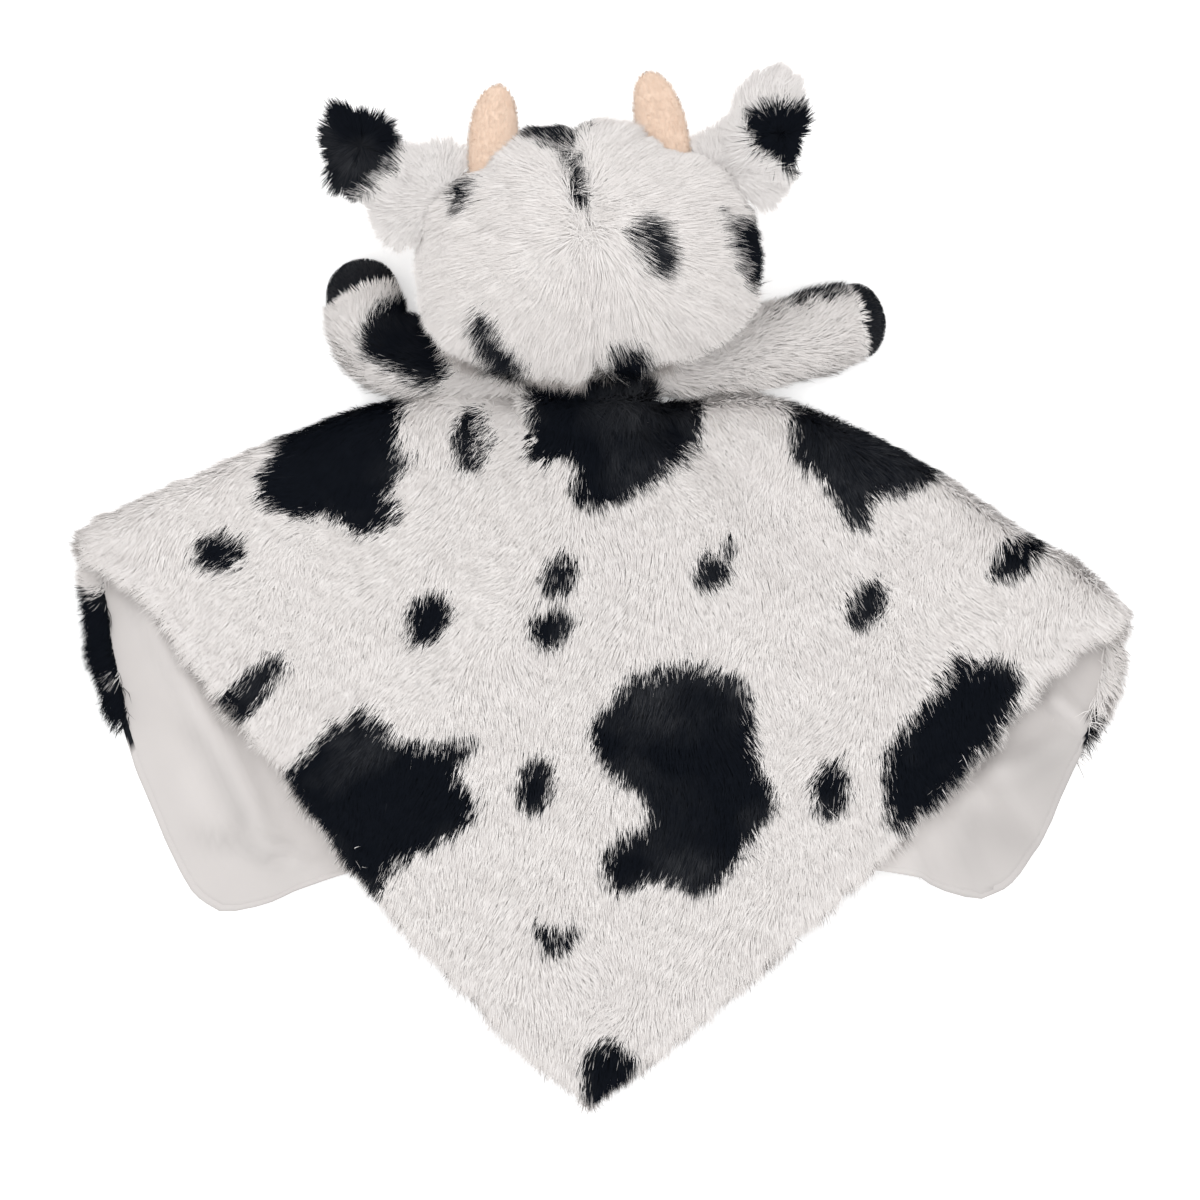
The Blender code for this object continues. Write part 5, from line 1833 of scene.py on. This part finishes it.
@dataclass
class Arm:
    """A stuffed arm from its shoulder to its black hoof, by shares of its reach.

    Each station is outwards, up the photograph and up from the table.
    """

    side: Side
    body: Body
    stations: tuple[tuple[float, float, float], ...]
    patches: tuple[Patch, ...]
    shoulder: tuple[float, float, float] = (12.0 * MM, -32.5 * MM, 17.0 * MM)
    reach: float = 66.0 * MM
    radius: float = 10.6 * MM
    radius_shares: tuple[float, ...] = (0.66, 0.77, 0.93, 1.03, 1.08, 1.1, 1.17, 1.14)
    start_round: float = 0.09
    end_round: float = 0.12
    seam_low: float = 0.76
    seam_top: float = 0.89
    rings: int = 281
    segments: int = 48
    strands: int = 23000
    nap_strands: int = 5000
    pile: Pile = Pile(7.6 * MM, 0.30 * MM, 54, 28, 0.22, 2.6 * MM, 0.2, lift=0.7)
    nap: Pile = Pile(1.3 * MM, 0.18 * MM, 60, 30, 0.5, 1.0 * MM, 0.3)

    def path(self) -> tuple[Array, Array]:
        """An even curve through the stations, with the radius at each of its points."""
        knots = np.array([(self.side.value * out, up, high) for out, up, high in self.stations])
        radii = np.array(self.radius_shares)[:, None] * self.radius
        both = curve_through(np.hstack([knots * self.reach, radii]), self.rings)
        x, y, z = self.shoulder
        return both[:, :3] + np.array([self.side.value * x, y, z]), both[:, 3]

    def skin(self, shrink: float, hoof: bool) -> Surface:
        """The surface on one side of the seam between the sleeve and the hoof.

        The seam slants, so that the sleeve reaches further on top than below. Both ends of the
        arm are rounded, by the square root of one less the square of what is left to the end.
        """
        centres, radii = self.path()
        radii = np.maximum(radii - shrink, 0.4 * MM)
        ring = np.arange(self.rings)
        to_start = np.clip(ring / (self.start_round * self.rings), 0, 1)
        to_end = np.clip(ring[::-1] / (self.end_round * self.rings), 0, 1)
        radii = radii * np.sqrt(1 - (1 - to_start) ** 2) * np.sqrt(1 - (1 - to_end) ** 2)
        whole = tube(centres, np.broadcast_to(UP, centres.shape), radii, radii, self.segments).points
        rise = 0.5 + 0.5 * np.sin(np.linspace(0, FULL_TURN, self.segments, endpoint=False))
        seam = self.seam_low + (self.seam_top - self.seam_low) * rise
        first, last = (seam, np.ones_like(seam)) if hoof else (np.zeros_like(seam), seam)
        at = (first + (last - first) * np.linspace(0, 1, 60)[:, None]) * (self.rings - 1)
        lower = np.minimum(at.astype(int), self.rings - 2)
        share = (at - lower)[..., None]
        column = np.arange(self.segments)
        points = whole[lower, column] * (1 - share) + whole[lower + 1, column] * share
        return above_surface(Surface(points, True))

    def build(self, finishes: Finishes) -> None:
        """The plush sleeve with its pile, and the hoof with its nap."""
        word = self.side.word
        outer, inner = self.skin(0.6 * MM, False), self.skin(1.7 * MM, False)
        placed(
            shell(f"arm_{word}_sleeve", outer, inner, black_on(outer, self.patches)),
            finishes["plush_backing"], self.body, f"arm_{word}_cover",
        )
        draw = np.random.default_rng(600 + self.side.value)
        roots = outer.scatter(self.strands, draw)
        comb = roots.ways + 0.3 * wander(roots.points, 22 * MM, 81)
        scale = 1 - 0.4 * smooth(roots.rows, 0.8, 1.0)
        mesh = self.pile.grow(f"arm_{word}_pile", roots, comb, Tint(self.patches), draw, scale)
        # The paler copy of the white plush: painted light.
        placed(mesh, finishes["head_strands"], self.body)
        outer, inner = self.skin(0.0, True), self.skin(1.0 * MM, True)
        mesh = shell(f"hoof_{word}_velour", outer, inner)
        placed(mesh, finishes["black_velour"], self.body, f"hoof_{word}")
        roots = outer.scatter(self.nap_strands, draw)
        mesh = self.nap.grow(f"hoof_{word}_nap", roots, roots.ways, Tint(base=1.0), draw)
        placed(mesh, finishes["plush_strands"], self.body)


ARMS = (
    Arm(
        Side.LEFT, Body.ARM_LEFT,
        (
            (0.00, 0.00, 0.00), (0.16, 0.01, -0.04), (0.36, 0.02, -0.09), (0.60, 0.03, -0.10),
            (0.84, 0.07, -0.10), (0.96, 0.19, -0.10), (0.99, 0.35, -0.10), (1.09, 0.52, -0.10),
        ),
        (
            Patch("left arm", (
                (402, 290), (381, 303), (365, 321), (359, 346), (366, 363), (386, 366), (404, 374),
                (416, 392), (455, 380), (460, 290),
            )),
        ),
    ),
    Arm(
        Side.RIGHT, Body.ARM_RIGHT,
        (
            (0.00, 0.00, 0.00), (0.17, 0.01, -0.04), (0.38, 0.03, -0.09), (0.62, 0.07, -0.10),
            (0.87, 0.13, -0.10), (1.08, 0.19, -0.10), (1.22, 0.23, -0.10), (1.37, 0.26, -0.10),
        ),
        (
            Patch("right arm", (
                (770, 294), (788, 284), (808, 275), (832, 270), (848, 282), (846, 300), (826, 298),
                (802, 305), (784, 301),
            )),
        ),
    ),
)


@dataclass
class Muzzle:
    """The stuffed velour muzzle, pressed flat where it rests."""

    head: Head
    semi_axes: tuple[float, float, float] = (28.0 * MM, 20.0 * MM, 17.0 * MM)
    rise: float = 16.5 * MM
    bare_above: float = 20.0 * MM
    strands: int = 6000
    nap: Pile = Pile(1.3 * MM, 0.15 * MM, 58, 28, 0.5, 1.1 * MM, 0.3)

    def skin(self, shrink: float) -> Surface:
        """An ellipsoid less a shrinkage, flattened where it meets the table."""
        sphere = globe(np.linspace(0, math.pi, 44), np.linspace(0, FULL_TURN, 72, endpoint=False))
        points = turned(sphere * (np.array(self.semi_axes) - shrink), self.head.tilt)
        return above_surface(Surface(points + np.array([0, 0, self.rise]), closed=True))

    def build(self, finishes: Finishes) -> None:
        """The cover and its nap."""
        outer, inner = self.skin(0.3 * MM), self.skin(1.2 * MM)
        inner = Surface(inner.points + np.array([0, 0, 0.3 * MM]), True)
        mesh = shell("muzzle_velour", outer, inner)
        placed(mesh, finishes["peach_velour"], Body.HEAD, "muzzle_cover")
        draw = np.random.default_rng(700)
        below = (outer.points[..., 2] < self.bare_above).astype(float)
        roots = outer.scatter(self.strands, draw, below)
        comb = np.array([0.0, -1.0, 0.0]) + 0.4 * wander(roots.points, 12 * MM, 91)
        mesh = self.nap.grow("muzzle_nap", roots, comb, Tint(), draw)
        placed(mesh, finishes["peach_nap"], Body.HEAD)


@dataclass
class Neck:
    """The gathered ball under the blanket's centre and the thread that ties it."""

    centre: tuple[float, float, float] = (0.0, -29.5 * MM, 30.0 * MM)
    radius: float = 10.0 * MM
    inset: float = 0.1 * MM
    folds: int = 14
    fold_depth: float = 0.35 * MM
    thread_drop: float = 7.9 * MM
    thread_radius: float = 0.42 * MM
    thread_standoff: float = 0.9 * MM
    wraps: int = 3

    def build(self, finishes: Finishes) -> None:
        """The ball, whose folds run from its tie to its top, and its wraps of thread."""
        polar = np.linspace(0, math.pi, 36)[:, None]
        azimuth = np.linspace(0, FULL_TURN, 112, endpoint=False)[None, :]
        fold = self.fold_depth * (np.cos(self.folds * azimuth) - 1) * np.sin(polar) ** 2
        radius = self.radius - self.inset + fold
        across, up = np.sin(polar) * np.cos(azimuth), np.sin(polar) * np.sin(azimuth)
        sphere = np.stack([across * radius, np.cos(polar) * radius, up * radius], axis=-1)
        ball = Surface(sphere + np.array(self.centre), True, -1.0)
        mesh = cleaned(mesh_of("neck_gather", ball.points.reshape(-1, 3), ball.faces()))
        set_values(mesh, tone=np.zeros(len(mesh.vertices)))
        placed(mesh, finishes["plush_backing"], Body.NECK, "neck_ball")
        steps = 60 * self.wraps
        turn = np.linspace(0, FULL_TURN * self.wraps, steps, endpoint=False)
        near, standoff = self.thread_drop - self.thread_standoff, self.thread_standoff
        waist = math.sqrt(self.radius**2 - near**2) + standoff
        drift = self.thread_drop + (turn / FULL_TURN - self.wraps / 2) * 2.0 * self.thread_radius * 0.7
        path = np.stack([np.cos(turn) * waist, -drift, np.sin(turn) * waist], axis=-1)
        thick = np.full(steps, self.thread_radius)
        thick[[0, -1]] = 0
        ups = np.broadcast_to([0.0, 1.0, 0.0], path.shape)
        wound = tube(path + np.array(self.centre), ups, thick, thick, 8)
        mesh = cleaned(mesh_of("neck_tie", wound.points.reshape(-1, 3), wound.faces()))
        placed(mesh, finishes["sewing_thread"], Body.NECK, "neck_thread")


def build_stitching(finishes: Finishes) -> None:
    """The eyes and nostrils in satin stitch: a low dome whose height ripples across the stitches."""
    for name in ("eye_left", "eye_right", "nostril_left", "nostril_right"):
        low, high = (np.array(corner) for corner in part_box(name))
        middle, half = (low + high) / 2, (high - low) / 2
        across = np.linspace(0, FULL_TURN, 48, endpoint=False)[None, :]
        out = np.linspace(0, 1, 14)[:, None]
        x, y = out * np.cos(across), out * np.sin(across)
        stitches = 0.12 * MM * np.abs(np.sin(x * 14)) * (1 - out**2)
        bulge = np.sqrt(np.maximum(1 - out**2, 0)) * half[2]
        dome, back = (
            Surface(np.stack([x * half[0], y * half[1], height + 0 * across], axis=-1) + middle, True)
            for height in (-bulge * 0.6 - stitches, bulge * 0.3)
        )
        placed(
            shell(f"{name}_stitches", dome, back), finishes["black_velour"], Body.HEAD, name
        )


@dataclass
class Studio:
    """A plain pale floor, one wide soft lamp and an even sky."""

    floor_side: float = 6.0
    lamp_side: float = 2.4
    lamp_place: tuple[float, float, float] = (-0.1, 0.3, 2.6)
    lamp_turn: tuple[float, float, float] = (-0.14, -0.04, 0.0)
    lamp_power: float = 36.0
    sky: float = 0.84
    floor_colour: Colour = (0.9, 0.9, 0.9)
    floor_glow: float = 0.42

    def build(self) -> None:
        """The floor, the lamp and the sky."""
        half = self.floor_side / 2
        corners = np.array([(-half, -half, 0), (half, -half, 0), (half, half, 0), (-half, half, 0)], float)
        mesh = mesh_of("floor", corners, np.array([[0, 1, 2, 3]]))
        floor = bpy.data.objects.new("floor", mesh)
        bpy.context.scene.collection.objects.link(floor)
        mesh.materials.append(self.floor_material())
        lamp = bpy.data.lights.new("soft_lamp", "AREA")
        lamp.shape = "SQUARE"
        lamp.size = self.lamp_side
        lamp.energy = self.lamp_power
        stand = bpy.data.objects.new("soft_lamp", lamp)
        stand.location = self.lamp_place
        stand.rotation_euler = self.lamp_turn
        bpy.context.scene.collection.objects.link(stand)
        self.set_sky()
        bpy.context.scene.view_settings.view_transform = "Standard"

    def set_sky(self) -> None:
        """An even light from all round, which the camera and glossy reflections see as white."""
        world = bpy.data.worlds.new("sky")
        world.use_nodes = True
        nodes = Nodes(world.node_tree)
        world.node_tree.nodes.clear()
        rays = nodes.add("ShaderNodeLightPath")
        shown = nodes.maths("MAXIMUM", rays.outputs["Is Camera Ray"], rays.outputs["Is Glossy Ray"])
        dim, bright = (
            nodes.add("ShaderNodeBackground", Color=(1, 1, 1, 1), Strength=strength).outputs[0]
            for strength in (self.sky, 1.0)
        )
        mix = nodes.add("ShaderNodeMixShader", in_0=shown, in_1=dim, in_2=bright)
        nodes.add("ShaderNodeOutputWorld", Surface=mix.outputs[0])
        bpy.context.scene.world = world

    def floor_material(self) -> bpy.types.Material:
        """A pale floor that the camera sees a little brighter, so that it ends in white."""
        made = bpy.data.materials.new("pale_floor")
        made.use_nodes = True
        nodes = Nodes(made.node_tree)
        made.node_tree.nodes.clear()
        rays = nodes.add("ShaderNodeLightPath")
        glow = nodes.maths("MULTIPLY", rays.outputs["Is Camera Ray"], self.floor_glow)
        matt = nodes.add("ShaderNodeBsdfDiffuse", Color=(*self.floor_colour, 1))
        light = nodes.add("ShaderNodeEmission", Color=(1, 1, 1, 1), Strength=glow)
        both = nodes.add("ShaderNodeAddShader", in_0=matt.outputs[0], in_1=light.outputs[0])
        nodes.add("ShaderNodeOutputMaterial", Surface=both.outputs[0])
        return made


def dress_fillings(finishes: Finishes) -> None:
    """The stuffing inside the head, muzzle, horns and arms, which nothing shows."""
    for name in ("head", "muzzle", "horn_left", "horn_right", "arm_left", "arm_right"):
        for slot in bpy.data.objects[f"{name}_filling"].material_slots:
            slot.material = finishes["fibre_filling"]


def main() -> None:
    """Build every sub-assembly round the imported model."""
    logging.basicConfig(level=logging.INFO, format="%(message)s")
    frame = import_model()
    LOG.info("the packed model has %d solids", len(frame["nodes"]))
    PHOTO.set_camera()
    finishes = make_finishes()
    FoldedBlanket().build(finishes)
    head = Head()
    head.build(finishes)
    Horns(head).build(finishes)
    for ear in EARS:
        ear.build(head, finishes)
    for arm in ARMS:
        arm.build(finishes)
    Muzzle(head).build(finishes)
    Neck().build(finishes)
    build_stitching(finishes)
    dress_fillings(finishes)
    Studio().build()


if __name__ == "__main__":
    main()
